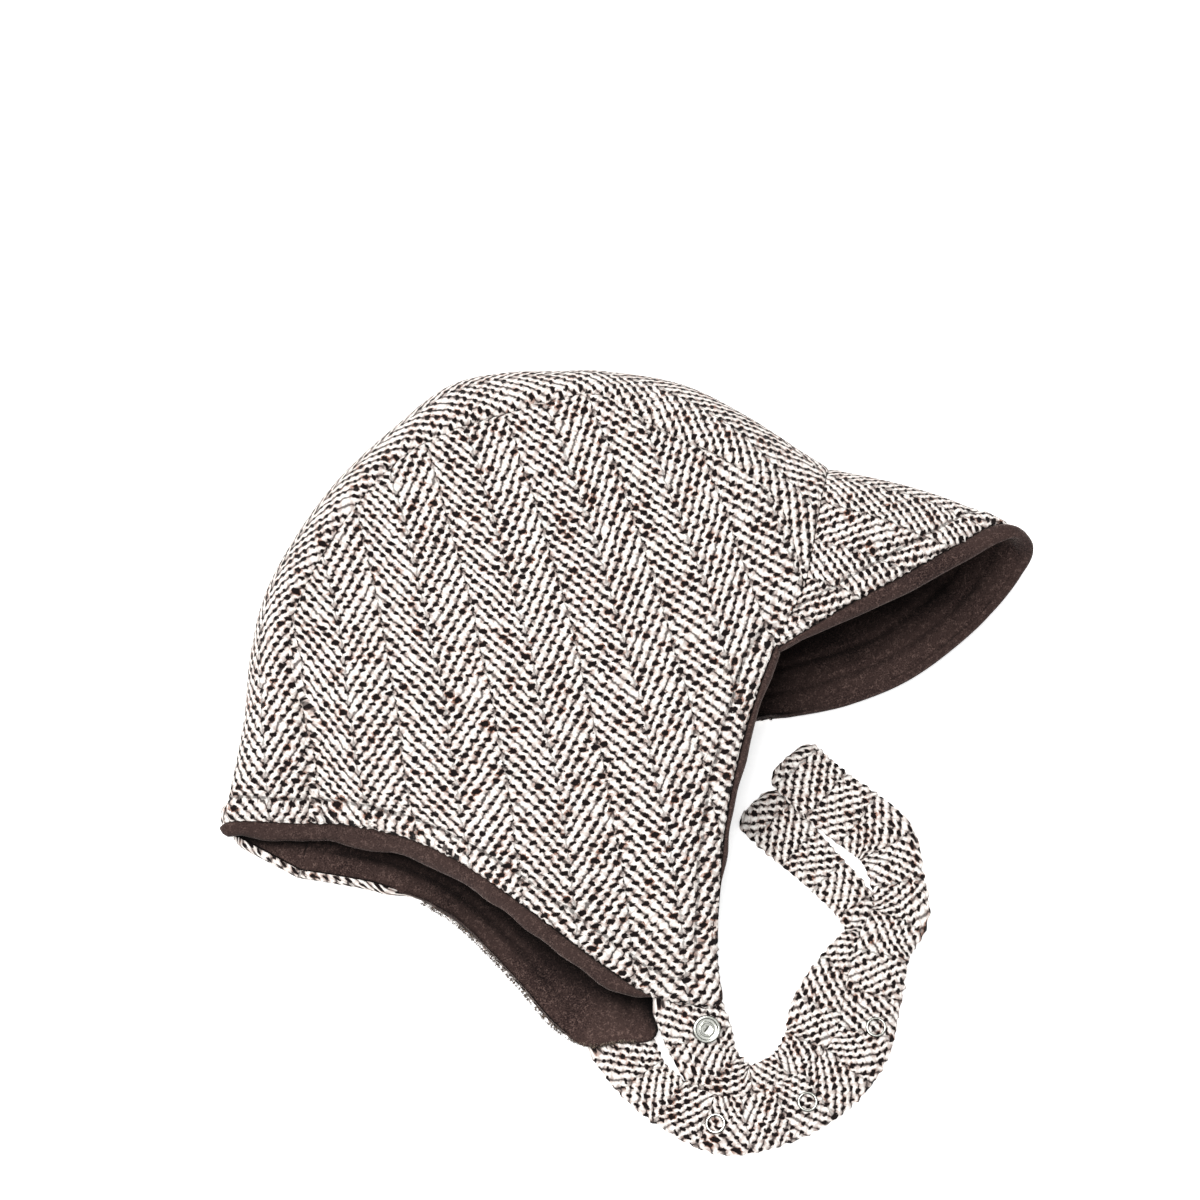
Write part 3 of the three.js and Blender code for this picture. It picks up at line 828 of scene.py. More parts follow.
@dataclass
class Relief:
    """What the sewing does to the outer face of a sheet, in millimetres along its normal.

    A seam is a dip with a low ridge and puckers beside it. A turned edge is rounded and lumpy, and the puffed
    band beside it ends at the groove of its row of stitches. A fade is how far something takes to die away.
    """

    sheet: Sheet
    seed: int
    dip_width: float = 1.1
    ridge: float = 0.4
    ridge_inset: float = 4.0
    ridge_width: float = 2.6
    pucker: float = 0.45
    pucker_fade: float = 6.0
    pucker_start: Span = (0.3, 2.5)
    edge_drop: float = 0.75
    edge_width: float = 0.9
    lump: float = 0.45
    lump_fade: float = 2.2
    aside: float = 0.5
    aside_shift: float = 40.0
    aside_fade: float = 1.6
    puff: float = 0.9
    groove_width: float = 1.2
    band_pucker: float = 0.55
    thinning: float = 0.9
    pucker_waves: Span = (5.0, 13.0)
    lump_waves: tuple[float, float, int] = (2.6, 4.4, 6)

    def __post_init__(self) -> None:
        """Starts from a smooth face."""
        self.height = np.zeros(self.sheet.places.shape[:2])
        self.sewing = np.full((*self.height.shape, 2), UNSEWN)
        self.stray = np.zeros(self.height.shape)
        self.puckers = Ripples(self.seed, *self.pucker_waves)
        self.lumps = Ripples(self.seed + 1, *self.lump_waves)

    def seam(self, line: Array, depth: float = SEAM_DEPTH) -> None:
        """Draws the cloth down into a seam, with a low ridge and puckers beside it.

        Args:
            line: The seam.
            depth: How deep the seam lies.
        """
        gap, along = near(self.sheet.places, line)
        self.height -= depth * bump(gap, 0, self.dip_width)
        self.height += self.ridge * depth * bump(gap, self.ridge_inset, self.ridge_width)
        puckers = self.pucker * depth * self.puckers.along(along)
        self.height += puckers * np.exp(-gap / self.pucker_fade) * ease(gap, *self.pucker_start)

    def turned_edge(self, line: Array, groove: float = GROOVE) -> None:
        """Rounds a turned edge, puffs the band beside it and sews a row of stitches along the band.

        Args:
            line: The edge.
            groove: How deep the row of stitches lies.
        """
        gap, along = near(self.sheet.places, line)
        self.sewing = np.stack([along, gap], -1)
        self.height -= self.edge_drop * bump(gap, 0, self.edge_width)
        self.height += self.lump * self.lumps.along(along) * np.exp(-gap / self.lump_fade)
        lumps = self.lumps.along(along + self.aside_shift)
        self.stray = self.aside * lumps * np.exp(-gap / self.aside_fade)
        self.height += self.puff * groove * bump(gap, STITCH_INSET / 2, STITCH_INSET / 3)
        self.height -= groove * bump(gap, STITCH_INSET, self.groove_width)
        puckers = self.band_pucker * self.puckers.along(along)
        self.height += puckers * bump(gap, STITCH_INSET, STITCH_INSET / 2)

    def skin(self, grain: Grain) -> Skin:
        """Makes both faces of the tweed, with the relief on the outer one.

        Args:
            grain: How the weave lies on it.

        Returns:
            The faces.
        """
        inner = np.minimum(TWEED, np.maximum(TWEED * self.thinning, THINNEST - self.height))
        sheet = self.sheet
        stray = sheet.out * self.stray[..., None]
        top, bottom = sheet.sunk(-self.height) + stray, sheet.sunk(inner) + stray
        return Skin(top, bottom, grain.over(sheet.pattern), self.sewing, SEWN_FULLNESS)


def fleece_skin(sheet: Sheet, plump: Array, sewing: Array, roll: Array, waver: Array | float = 1.0) -> Skin:
    """Makes the faces of a fleece piece that turns out past the edge of its tweed.

    Args:
        sheet: The sheet of the outer face of the tweed over it.
        plump: How much thicker it is than plain fleece.
        sewing: How far along its edge each point is, and how far in from it.
        roll: How far it turns out at each column.
        waver: A share that the turn's length is taken by.

    Returns:
        The faces.
    """
    skin = Skin(sheet.sunk(LINING_TOP), sheet.sunk(LINING_BOTTOM + plump), sheet.pattern, sewing)
    length = np.maximum(roll * waver - ROLL_END, 0) / FLEECE_ROLL[-1].past_top
    return skin.turned(sheet, FLEECE_ROLL, ease(roll, 0, ROUND_ROLL), length)


@dataclass
class Crown:
    """The shape that the side panels and the centre strip share: one grid over the whole crown."""

    columns: int = 361
    panel_rows: int = 121
    strip_rows: int = 61
    soften: int = 10
    rim_soften: int = 8
    crowding: float = 0.75
    wave_height: float = 0.7
    waves: Span = (34.0, 80.0)

    def __post_init__(self) -> None:
        """Works out the grid, its normals and its rims."""
        names = ("fold", "seam", "under", "right", "left")
        self.lines = {name: Curve([getattr(section, name) for section in SECTIONS]) for name in names}
        self.shares = evenly([self.lines[name] for name in ("fold", "right", "left")], self.columns)
        self.ripples = Ripples(Seed.CROWN, *self.waves)
        spread = np.linspace(0, 1, self.panel_rows)
        crowded = (1 - np.cos(math.pi * spread)) / 2
        self.steps = spread + (crowded - spread) * self.crowding
        self.over = np.linspace(1, -1, self.strip_rows)
        right = np.array([self.panel(Side.RIGHT, t) for t in self.steps])
        strip = np.array([self.strip_line(w) for w in self.over])
        left = np.array([self.panel(Side.LEFT, t) for t in self.steps])
        self.grid = np.concatenate([right[::-1], strip[1:-1], left])
        self.normals = facing(self.grid, self.soften)
        self.seam_row = self.panel_rows - 1
        self.under_row = self.seam_row + self.strip_rows - 1
        self.temple = int(np.searchsorted(self.shares, TEMPLE))
        self.make_rims()

    def strip_line(self, w: float) -> Array:
        """Finds a line along the centre strip.

        Args:
            w: Where across the strip, from 1 at the upper seam over the fold at 0 to -1 at the lower seam.

        Returns:
            A place for each column.
        """
        fold = self.lines["fold"].at(self.shares)
        seam = self.lines["seam" if w >= 0 else "under"].at(self.shares)
        inward = (seam - fold) * (1, 1, 0)
        width = np.linalg.norm(inward, axis=1)
        height = seam[:, 2] - fold[:, 2]
        reach = np.minimum(width, np.abs(height))
        arc = math.pi / 4 * (reach + np.abs(height))
        along = abs(w) * (arc + width - reach)
        angle = np.minimum(along / arc, 1) * math.pi / 2
        inset = reach * (1 - np.cos(angle)) + np.maximum(along - arc, 0)
        place = fold + inward / width[:, None] * inset[:, None]
        place[:, 2] = fold[:, 2] + height * np.sin(angle)
        return place

    def panel(self, side: Side, t: float) -> Array:
        """Finds a line along a side panel.

        Args:
            side: Which panel.
            t: Where across it, from 0 at the seam to 1 at the edge.

        Returns:
            A place for each column.
        """
        seam = self.strip_line(1.0 if side is Side.RIGHT else -1.0)
        edge = self.lines[side.value].at(self.shares)
        place = seam + (edge - seam) * t
        if side is Side.LEFT:
            place[:, 2] = np.maximum(edge[:, 2], 0) * t**EDGE_CURL
            return place
        span = np.linalg.norm((edge - seam)[:, :2], axis=1)
        slack = np.minimum(span / DOME_SPAN, 1)
        loose = np.minimum(slack * DENT_FADE, 1)
        x, y = place[:, 0], place[:, 1]
        pressed = sum(
            dent.depth * np.exp(-(((x - dent.x) ** 2 + (y - dent.y) ** 2) / dent.reach**2)) for dent in DENTS
        )
        swell = DOME * slack**DOME_POWER - loose * pressed
        swell += self.wave_height * loose * self.ripples.over(x, y)
        place[:, 2] = seam[:, 2] + (edge[:, 2] - seam[:, 2]) * t**DROOP + swell * math.sin(math.pi * t)
        return place

    def make_rims(self) -> None:
        """Finds the direction off the cloth all along the open rim."""
        strip = slice(self.seam_row, self.under_row + 1)
        line = np.concatenate([self.grid[0, :0:-1], self.grid[strip, 0], self.grid[-1, 1:]])
        normal = np.concatenate([self.normals[0, :0:-1], self.normals[strip, 0], self.normals[-1, 1:]])
        out = unit(np.cross(normal, unit(np.gradient(line, axis=0))))
        out = smoothed(out, self.rim_soften)
        side = self.columns - 1
        self.out_right = out[: side + 1][::-1]
        self.out_strip = out[side : side + self.strip_rows]
        self.out_left = out[-side - 1 :]

    def rolls(self, name: str) -> Array:
        """Returns how far the fleece turns out past one edge at each column."""
        row = self.shares * LAST_SECTION
        return field_at(SECTIONS, name, row) * (1 - ease(row, *ROLL_STOP))

    def edge_row(self, side: Side) -> Array:
        """Returns the edge of one side panel."""
        return self.grid[0 if side is Side.RIGHT else -1]

    def front_rim(self) -> tuple[Array, Array]:
        """Returns the line that the peak is sewn to, from the right temple to the left, and its normals."""
        strip = slice(self.seam_row, self.under_row + 1)
        parts = [
            (0, slice(self.temple, self.columns - 1)),
            (strip, self.columns - 1),
            (-1, slice(self.columns - 2, self.temple - 1, -1)),
        ]
        return tuple(np.concatenate([grid[part] for part in parts]) for grid in (self.grid, self.normals))

    def side_sheet(self, side: Side) -> Sheet:
        """Finds one side panel, from its seam to its edge.

        Args:
            side: Which panel.

        Returns:
            The panel as a sheet.
        """
        rows = slice(self.seam_row, None, -1) if side is Side.RIGHT else slice(self.under_row, None)
        places = self.grid[rows]
        pattern = cut_pattern(places, places[..., :2], rows=4, columns=6)
        out = self.out_right if side is Side.RIGHT else self.out_left
        return Sheet(places, self.normals[rows], pattern, out)

    def strip_sheet(self) -> Sheet:
        """Returns the centre strip as a sheet, from the forehead to the back rim."""
        rows = slice(self.seam_row, self.under_row + 1)
        places = self.grid[rows].transpose(1, 0, 2)[::-1]
        normals = self.normals[rows].transpose(1, 0, 2)[::-1]
        steps = np.linalg.norm(np.diff(places, axis=1), axis=2)
        across = np.concatenate([np.zeros((len(places), 1)), np.cumsum(steps, axis=1)], axis=1)
        length = np.stack([along_line(line) for line in places.transpose(1, 0, 2)], -1)
        half, spine = len(places) // 2, self.strip_rows // 2
        along = length - length[half] + length[half, spine]
        guess = np.stack([across - SPINE_INSET, -along], -1)
        return Sheet(places, normals, cut_pattern(places, guess, rows=6, columns=4), self.out_strip)


class Grain(NamedTuple):
    """How the weave lies on a cut piece: along the rib columns and across them, in millimetres.

    The cloth was laid a little off the straight grain, and it eased as it was sewn, so the columns lean and
    fan out, and the yarns that cross them bow.
    """

    start: float = 0.0
    width: float = 1.0
    lean: float = 0.0
    fan: float = 0.0
    sweep: float = 0.0
    skew: float = 0.0
    bow: float = 0.0
    fineness: float = 1.0

    def over(self, pattern: Array) -> Array:
        """Finds where each place of a pattern lies in the weave.

        Args:
            pattern: The places on the cut cloth.

        Returns:
            Their places in the weave.
        """
        u, v = pattern[..., 0], pattern[..., 1]
        across = self.start + u * (self.width + self.fan * v) + self.lean * v + self.sweep * v**2
        return np.stack([across, v + self.skew * u - self.bow * u**2], -1) * self.fineness


SIDE_GRAIN = Grain(start=3.3, width=0.92, lean=-0.103, fan=0.00108, sweep=0.00032, skew=0.075, bow=0.00167)


def trimmed(sheet: Sheet) -> Sheet:
    """Holds a sheet a little off its first row, so that two pieces never share a face.

    Args:
        sheet: The sheet.

    Returns:
        The trimmed sheet.
    """
    places = sheet.places.copy()
    step = places[1] - places[0]
    length = np.linalg.norm(step, axis=1, keepdims=True)
    places[0] += step * np.where(length > 2 * SEAM_GAP, SEAM_GAP / np.maximum(length, 1e-9), 0)
    return Sheet(places, sheet.normals, sheet.pattern, sheet.out)


def math_step(operation: str, swapped: bool = False) -> Callable[..., Wire]:
    """Makes a method that adds one Math node.

    Args:
        operation: What the node does.
        swapped: Whether the wire comes after the other value.

    Returns:
        The method.
    """

    def step(wire: Wire, *others: Wire | float) -> Wire:
        """Adds the node and returns its output."""
        return wire.bench.math(operation, *((*others, wire) if swapped else (wire, *others)))

    return step


class Wire:
    """A value in a material. Arithmetic on it adds Math nodes."""

    def __init__(self, bench: Bench, socket: bpy.types.NodeSocket) -> None:
        """Keeps the socket and the material that it belongs to."""
        self.bench = bench
        self.socket = socket

    __add__ = math_step("ADD")
    __radd__ = math_step("ADD", swapped=True)
    __sub__ = math_step("SUBTRACT")
    __rsub__ = math_step("SUBTRACT", swapped=True)
    __mul__ = math_step("MULTIPLY")
    __rmul__ = math_step("MULTIPLY", swapped=True)
    __truediv__ = math_step("DIVIDE")
    __abs__ = math_step("ABSOLUTE")
    __round__ = math_step("ROUND")
    floor = math_step("FLOOR")
    there_and_back = math_step("PINGPONG")
    above = math_step("GREATER_THAN")
    most = math_step("MAXIMUM")
    least = math_step("MINIMUM")

    def rise(self, low: float, high: float) -> Wire:
        """Rises smoothly from 0 to 1.

        Args:
            low: The value that gives 0.
            high: The value that gives 1.

        Returns:
            The output.
        """
        settings = {"interpolation_type": "SMOOTHSTEP"}
        sockets = {"Value": self, "From Min": low, "From Max": high}
        return self.bench.node("ShaderNodeMapRange", settings, sockets)


NOISE_ROUGHNESS = 0.6
MIDDLE_GREY = (0.5, 0.5, 0.5)


class Bench:
    """One material in the making."""

    def __init__(self, name: str) -> None:
        """Starts an empty material.

        Args:
            name: The material's name.
        """
        self.material = bpy.data.materials.new(name)
        self.material.use_nodes = True
        self.tree = self.material.node_tree
        self.tree.nodes.clear()

    def node(
        self, kind: str, settings: dict[str, Any], sockets: dict[str | int, Any], output: str | int = 0
    ) -> Wire:
        """Adds a node.

        Args:
            kind: The node's type.
            settings: Its properties, set first.
            sockets: A value or a wire for each input.
            output: Which output to return.

        Returns:
            The output.
        """
        node = self.tree.nodes.new(kind)
        for name, value in settings.items():
            setattr(node, name, value)
        for key, value in sockets.items():
            if isinstance(value, Wire):
                self.tree.links.new(value.socket, node.inputs[key])
            else:
                node.inputs[key].default_value = value
        return Wire(self, node.outputs[output])

    def math(self, operation: str, *values: Wire | float) -> Wire:
        """Adds a Math node."""
        return self.node("ShaderNodeMath", {"operation": operation}, dict(enumerate(values)))

    def vector(self, operation: str, first: Wire, second: Wire | Colour) -> Wire:
        """Adds a Vector Math node."""
        return self.node("ShaderNodeVectorMath", {"operation": operation}, {0: first, 1: second})

    def joined(self, x: Wire, y: Wire, z: Wire) -> Wire:
        """Joins three numbers into a vector."""
        return self.node("ShaderNodeCombineXYZ", {}, {0: x, 1: y, 2: z})

    def parts(self, vector: Wire) -> tuple[Wire, Wire, Wire]:
        """Splits a vector.

        Args:
            vector: The vector.

        Returns:
            Its three numbers.
        """
        first = self.node("ShaderNodeSeparateXYZ", {}, {0: vector})
        outputs = first.socket.node.outputs
        return tuple(Wire(self, outputs[k]) for k in range(3))

    def noise(self, place: Wire, size: float, detail: float = 1.0, output: str = "Fac") -> Wire:
        """Adds smooth noise.

        Args:
            place: Where, in metres.
            size: How large its features are, in millimetres.
            detail: How many finer layers it has.
            output: Fac for a number or Color for three.

        Returns:
            The noise, about 0.5.
        """
        sockets = {"Vector": place, "Scale": 1 / (size * MM), "Detail": detail}
        sockets["Roughness"] = NOISE_ROUGHNESS
        return self.node("ShaderNodeTexNoise", {}, sockets, output)

    def mixed(self, share: Wire, first: Wire | Colour, second: Wire | Colour) -> Wire:
        """Mixes two colours.

        Args:
            share: How much of the second.
            first: One colour.
            second: The other colour.

        Returns:
            The mixture.
        """
        colours = [value if isinstance(value, Wire) else (*value, 1.0) for value in (first, second)]
        sockets = {0: share, 6: colours[0], 7: colours[1]}
        return self.node("ShaderNodeMix", {"data_type": "RGBA"}, sockets, 2)

    def bumped(self, height: Wire, strength: float) -> Wire:
        """Turns a height in millimetres into a normal."""
        sockets = {"Strength": strength, "Distance": MM, "Height": height}
        return self.node("ShaderNodeBump", {}, sockets)

    def surface(self, sockets: dict[str, Any]) -> bpy.types.Material:
        """Finishes the material with its shader.

        Args:
            sockets: A value or a wire for each input of the shader.

        Returns:
            The material.
        """
        shader = self.node("ShaderNodeBsdfPrincipled", {}, sockets)
        output = self.tree.nodes.new("ShaderNodeOutputMaterial")
        self.tree.links.new(shader.socket, output.inputs["Surface"])
        return self.material


@dataclass(frozen=True)
class TweedFinish:
    """Herringbone tweed: cream ribs of two-ply wool with dark yarn showing between them.

    Lengths are in millimetres, and those of a rib or a strand are shares of its pitch. An edge is the span
    where something starts and stops fading, a size is that of some unevenness, and the other plain numbers
    are shares.
    """

    column: float = 18.5
    across: float = 4.42
    crossing: float = 5.2
    along: float = 6.05
    wander: float = 2.6
    wander_size: float = 30.0
    jitter: float = 3.0
    jitter_size: float = 3.0
    shift: float = 0.22
    fuzz_size: float = 1.1
    dot: tuple[float, float] = (1.32, 0.92)
    dot_sizes: Span = (1.4, 0.6)
    dot_fuzz: float = 2.2
    dot_edge: Span = (0.75, 1.25)
    halo_edge: Span = (1.0, 3.0)
    halo_share: float = 0.22
    missing: float = 0.04
    line: float = 0.135
    line_pinch: float = 0.06
    line_fuzz: float = 0.26
    line_edge: Span = (-0.045, 0.045)
    line_fading: float = 0.25
    line_share: float = 0.97
    spine_fuzz: float = 1.5
    spine_edge: Span = (0.1, 0.6)
    spine_share: float = 0.5
    ply_fuzz: float = 0.2
    ply_edge: Span = (0.02, 0.16)
    ply_shade_share: float = 0.5
    hollow_edge: Span = (0.1, 0.38)
    hollow_shade_share: float = 0.55
    worn_size: float = 45.0
    worn_edge: Span = (0.35, 0.7)
    worn_share: float = 0.1
    wool_fuzz: float = 1.1
    wool_share: float = 0.1
    warm_size: float = 7.0
    warm_edge: Span = (0.42, 0.62)
    warm_share: float = 0.75
    stitch_wander: float = 2.4
    stitch_wander_size: float = 9.0
    stitch_half: float = 0.4
    stitch_edge: Span = (0.0, 0.5)
    stitch_length: float = 1.7
    dash_edge: Span = (0.3, 1.0)
    dash_share: float = 0.45
    stitch_groove_shade: float = 0.3
    crest_edge: Span = (0.0, 0.9)
    twist: float = 0.28
    dot_sink: float = 0.35
    spine_sink: float = 0.3
    fibre_size: float = 0.35
    fibre_height: float = 0.25
    cream: Colour = (0.96, 0.93, 0.885)
    shade: Colour = (0.4, 0.32, 0.29)
    tan: Colour = (0.3, 0.13, 0.08)
    dark: Colour = (0.006, 0.003, 0.003)
    bump: float = 0.9

    def make(self) -> bpy.types.Material:
        """Makes the material, which follows the grain of each cut piece.

        Returns:
            The material.
        """
        bench = Bench("herringbone_tweed")
        cloth = bench.node("ShaderNodeUVMap", {"uv_map": "cloth"}, {})
        wander = bench.vector("SUBTRACT", bench.noise(cloth, self.wander_size, 1, "Color"), MIDDLE_GREY)
        jitter = bench.vector("SUBTRACT", bench.noise(cloth, self.jitter_size, 2, "Color"), MIDDLE_GREY)
        u, v, _ = bench.parts(cloth)
        wide_u, wide_v, _ = bench.parts(wander)
        fine_u, fine_v, _ = bench.parts(jitter)
        s = u / MM + wide_u * self.wander + fine_u * self.jitter
        t = v / MM + wide_v * self.wander + fine_v * self.jitter
        leg = s.there_and_back(self.column)
        rib = leg / self.across - t / self.along
        strand = leg / self.crossing + t / self.along
        rib_number, strand_number = round(rib), round(strand)
        stamp = bench.joined(rib_number, strand_number, (s / self.column).floor())
        chance = bench.node("ShaderNodeTexWhiteNoise", {"noise_dimensions": "3D"}, {"Vector": stamp}, "Color")
        size, shape, rare = bench.parts(chance)
        from_rib = rib - rib_number
        from_strand = strand - strand_number + (shape - 0.5) * self.shift
        off_rib, off_strand = abs(from_rib), abs(from_strand)
        fuzz = bench.noise(cloth, self.fuzz_size, 2) - 0.5
        # A dot of dark yarn shows where a rib crosses a strand, with a tan halo round it.
        sideways = (from_rib + from_strand) / (1 / self.across + 1 / self.crossing)
        endways = (sideways / self.across - from_rib) * self.along
        wide_dot, high_dot = (sideways / self.dot[0]), (endways / self.dot[1])
        small, large = self.dot_sizes
        shrunk = small - (small - large) * size
        far = (wide_dot * wide_dot + high_dot * high_dot) * shrunk + fuzz * self.dot_fuzz
        there = rare.above(self.missing)
        dot = (1 - far.rise(*self.dot_edge)) * there
        halo = (1 - far.rise(*self.halo_edge)) * there
        # A dark line runs between ribs, a fainter one along the spine of each column.
        edge = self.line - self.line_pinch * off_strand + fuzz * self.line_fuzz
        strength = 1 - self.line_fading + self.line_fading * shape
        line = (1 - (off_rib - edge).rise(*self.line_edge)) * strength
        spine = 1 - (leg.least(self.column - leg) + fuzz * self.spine_fuzz).rise(*self.spine_edge)
        # The wool gets painted shade between its plies and in the hollows by the lines, and a darker tone
        # where it is worn.
        ply = 1 - (0.5 - off_strand + fuzz * self.ply_fuzz).rise(*self.ply_edge)
        worn = bench.noise(cloth, self.worn_size, 2).rise(*self.worn_edge)
        soiled = fuzz * self.wool_fuzz + self.wool_share + worn * self.worn_share
        wool = bench.mixed(soiled, self.cream, self.shade)
        hollow = 1 - off_rib.rise(*self.hollow_edge)
        wool = bench.mixed(ply * self.ply_shade_share + hollow * self.hollow_shade_share, wool, self.shade)
        warm = bench.noise(cloth, self.warm_size, 1).rise(*self.warm_edge)
        tuck = bench.noise(cloth, self.stitch_wander_size, 1)
        wool = bench.mixed(halo * (self.halo_share + self.warm_share * warm * size), wool, self.tan)
        # The row of stitches is dashed and wanders a little: dark thread in dashes, over a steady painted
        # shade along its groove.
        seam_along, seam_gap, _ = bench.parts(bench.node("ShaderNodeUVMap", {"uv_map": "sewing"}, {}))
        off_row = abs(seam_gap / MM - STITCH_INSET + (tuck - 0.5) * self.stitch_wander)
        dash = (seam_along / MM + fuzz).there_and_back(self.stitch_length).rise(*self.dash_edge)
        sewn = 1 - (off_row - self.stitch_half).rise(*self.stitch_edge)
        stitch = sewn * (self.stitch_groove_shade + self.dash_share * dash)
        yarn = dot.most(line * self.line_share).most(spine * self.spine_share).most(stitch)
        # The ribs stand up, the dark yarn lies low and single fibres stand out a little.
        crest = (off_rib * 2).rise(*self.crest_edge)
        twist = 1 - self.twist + self.twist * (1 - ply)
        fibres = bench.noise(cloth, self.fibre_size, 2) * self.fibre_height
        height = crest * twist - dot * self.dot_sink - spine * self.spine_sink + fibres
        return bench.surface({
            "Base Color": bench.mixed(yarn, wool, self.dark),
            "Roughness": 0.92,
            "Sheen Weight": 0.05,
            "Sheen Roughness": 0.5,
            "Specular IOR Level": 0.12,
            "Normal": bench.bumped(height * self.bump, 0.8),
        })


@dataclass(frozen=True)
class FleeceFinish:
    """Dark brown fleece: a short matted pile with soft shading.

    Lengths are in millimetres, an edge is the span where something starts and stops fading, and the other
    plain numbers are shares. The turned colour is painted shade on the roll past the tweed, and the colour
    of deep folds is painted shade where the ambient occlusion finds little open sky.
    """

    base: Colour = (0.05, 0.0295, 0.0255)
    light: Colour = (0.13, 0.083, 0.071)
    dark: Colour = (0.012, 0.006, 0.006)
    turned: Colour = (0.02, 0.012, 0.011)
    fringe: Colour = (0.45, 0.34, 0.26)
    recess_shade: Colour = (0.001, 0.0006, 0.0006)
    sheen: Colour = (0.75, 0.6, 0.55)
    pile_size: float = 0.6
    tuft_size: float = 2.0
    brush_size: float = 28.0
    light_edge: Span = (0.5, 0.75)
    dark_edge: Span = (0.48, 0.72)
    tuft_share: float = 0.7
    brush_share: float = 0.5
    turned_edge: Span = (0.0, 2.5)
    turned_shade_share: float = 0.3
    fringe_share: float = 0.85
    recess_shade_edge: Span = (0.6, 0.72)
    recess_shade_share: float = 0.98
    reach: float = 80.0
    pile_height: float = 0.5
    tuft_height: float = 0.6

    def make(self) -> bpy.types.Material:
        """Makes the fleece.

        Returns:
            The material.
        """
        bench = Bench("brown_fleece")
        place = bench.node("ShaderNodeTexCoord", {}, {}, "Object")
        _, gap, _ = bench.parts(bench.node("ShaderNodeUVMap", {"uv_map": "sewing"}, {}))
        pile = bench.noise(place, self.pile_size, 3)
        tufts = bench.noise(place, self.tuft_size, 2)
        brushed = bench.noise(place, self.brush_size, 2)
        brushed_up = (pile + (tufts - 0.5) * self.tuft_share).rise(*self.light_edge)
        colour = bench.mixed(brushed_up, self.base, self.light)
        matted = (1 - pile + (brushed - 0.5) * self.brush_share).rise(*self.dark_edge)
        colour = bench.mixed(matted, colour, self.dark)
        past = gap / MM * -1
        # Painted shade: the pile of the roll that turns out past the tweed is darkened.
        colour = bench.mixed(past.rise(*self.turned_edge) * self.turned_shade_share, colour, self.turned)
        loose = past.rise(FRINGE_MARK / 2, FRINGE_MARK)
        colour = bench.mixed(loose * self.fringe_share, colour, self.fringe)
        # Painted shade darkens the deep folds, where the ambient occlusion finds little open sky.
        distance = {"Distance": self.reach * MM}
        open_sky = bench.node("ShaderNodeAmbientOcclusion", {"samples": 6}, distance, "AO")
        deep = 1 - open_sky.rise(*self.recess_shade_edge)
        colour = bench.mixed(deep * self.recess_shade_share, colour, self.recess_shade)
        return bench.surface({
            "Base Color": colour,
            "Roughness": 0.95,
            "Sheen Weight": 0.35,
            "Sheen Roughness": 0.25,
            "Sheen Tint": (*self.sheen, 1.0),
            "Specular IOR Level": 0.15,
            "Normal": bench.bumped(pile * self.pile_height + tufts * self.tuft_height, 0.7),
        })


@dataclass(frozen=True)
class SnapFinish:
    """Polished nickel plate with fine scuffs, with painted shade on its walls and where it is pressed deep.
    """

    plate: Colour = (0.8, 0.81, 0.75)
    worn: Colour = (0.4, 0.41, 0.34)
    reflection_shade: Colour = (0.035, 0.035, 0.03)
    scuff_size: float = 0.9
    scuff_edge: Span = (0.45, 0.75)
    scuff_height: float = 0.03
    scuff_roughness: float = 0.22
    roughness: float = 0.08
    reflection_shade_edge: Span = (0.3, 0.8)
    reflection_shade_scuff: float = 0.2
    reflection_shade_share: float = 0.95

    def make(self) -> bpy.types.Material:
        """Makes the metal.

        Returns:
            The material.
        """
        bench = Bench("snap_plate")
        scuffs = bench.noise(bench.node("ShaderNodeTexCoord", {}, {}, "Object"), self.scuff_size, 3)
        # Each face's painted shade and painted dark reflection, marked when the snap was made.
        depth = bench.node("ShaderNodeAttribute", {"attribute_name": "shade_and_reflection"}, {}, "Fac")
        colour = bench.mixed(scuffs.rise(*self.scuff_edge), self.plate, self.worn)
        reflection_shaded = (depth + scuffs * self.reflection_shade_scuff).rise(*self.reflection_shade_edge) * self.reflection_shade_share
        return bench.surface({
            "Base Color": bench.mixed(reflection_shaded, colour, self.reflection_shade),
            "Metallic": 1.0,
            "Roughness": scuffs * self.scuff_roughness + self.roughness,
            "Normal": bench.bumped(scuffs * self.scuff_height, 0.5),
        })


@dataclass(frozen=True)
class PaperFinish:
    """The pale table, which glows a little of its own."""

    white: Colour = (0.93, 0.93, 0.93)
    fleck: Colour = (0.9, 0.9, 0.9)
    fleck_size: float = 1.5
    fleck_share: float = 0.1
    glow: float = 0.55

    def make(self) -> bpy.types.Material:
        """Makes the table's finish.

        Returns:
            The material.
        """
        bench = Bench("pale_table")
        grain = bench.noise(bench.node("ShaderNodeTexCoord", {}, {}, "Object"), self.fleck_size, 2)
        return bench.surface({
            "Base Color": bench.mixed(grain * self.fleck_share, self.white, self.fleck),
            "Roughness": 0.9,
            "Specular IOR Level": 0.1,
            "Emission Color": (1.0, 1.0, 1.0, 1.0),
            "Emission Strength": self.glow,
        })


class Wardrobe:
    """The finishes of the hat, made once and shared by its pieces."""

    def __init__(self) -> None:
        """Makes the materials."""
        self.finishes = {
            "tweed": TweedFinish().make(),
            "fleece": FleeceFinish().make(),
            "snap_metal": SnapFinish().make(),
        }

    def dress(self, piece: bpy.types.Object, slot: str, node: str) -> None:
        """Gives a piece its finish and its place in the model.

        Args:
            piece: The piece.
            slot: The record's slot that its finish comes from.
            node: The plain solid that it stands for.
        """
        piece.data.materials.append(self.finishes[slot])
        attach(piece, "root")
        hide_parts(node)
        log.info("%s: %d faces", piece.name, len(piece.data.polygons))


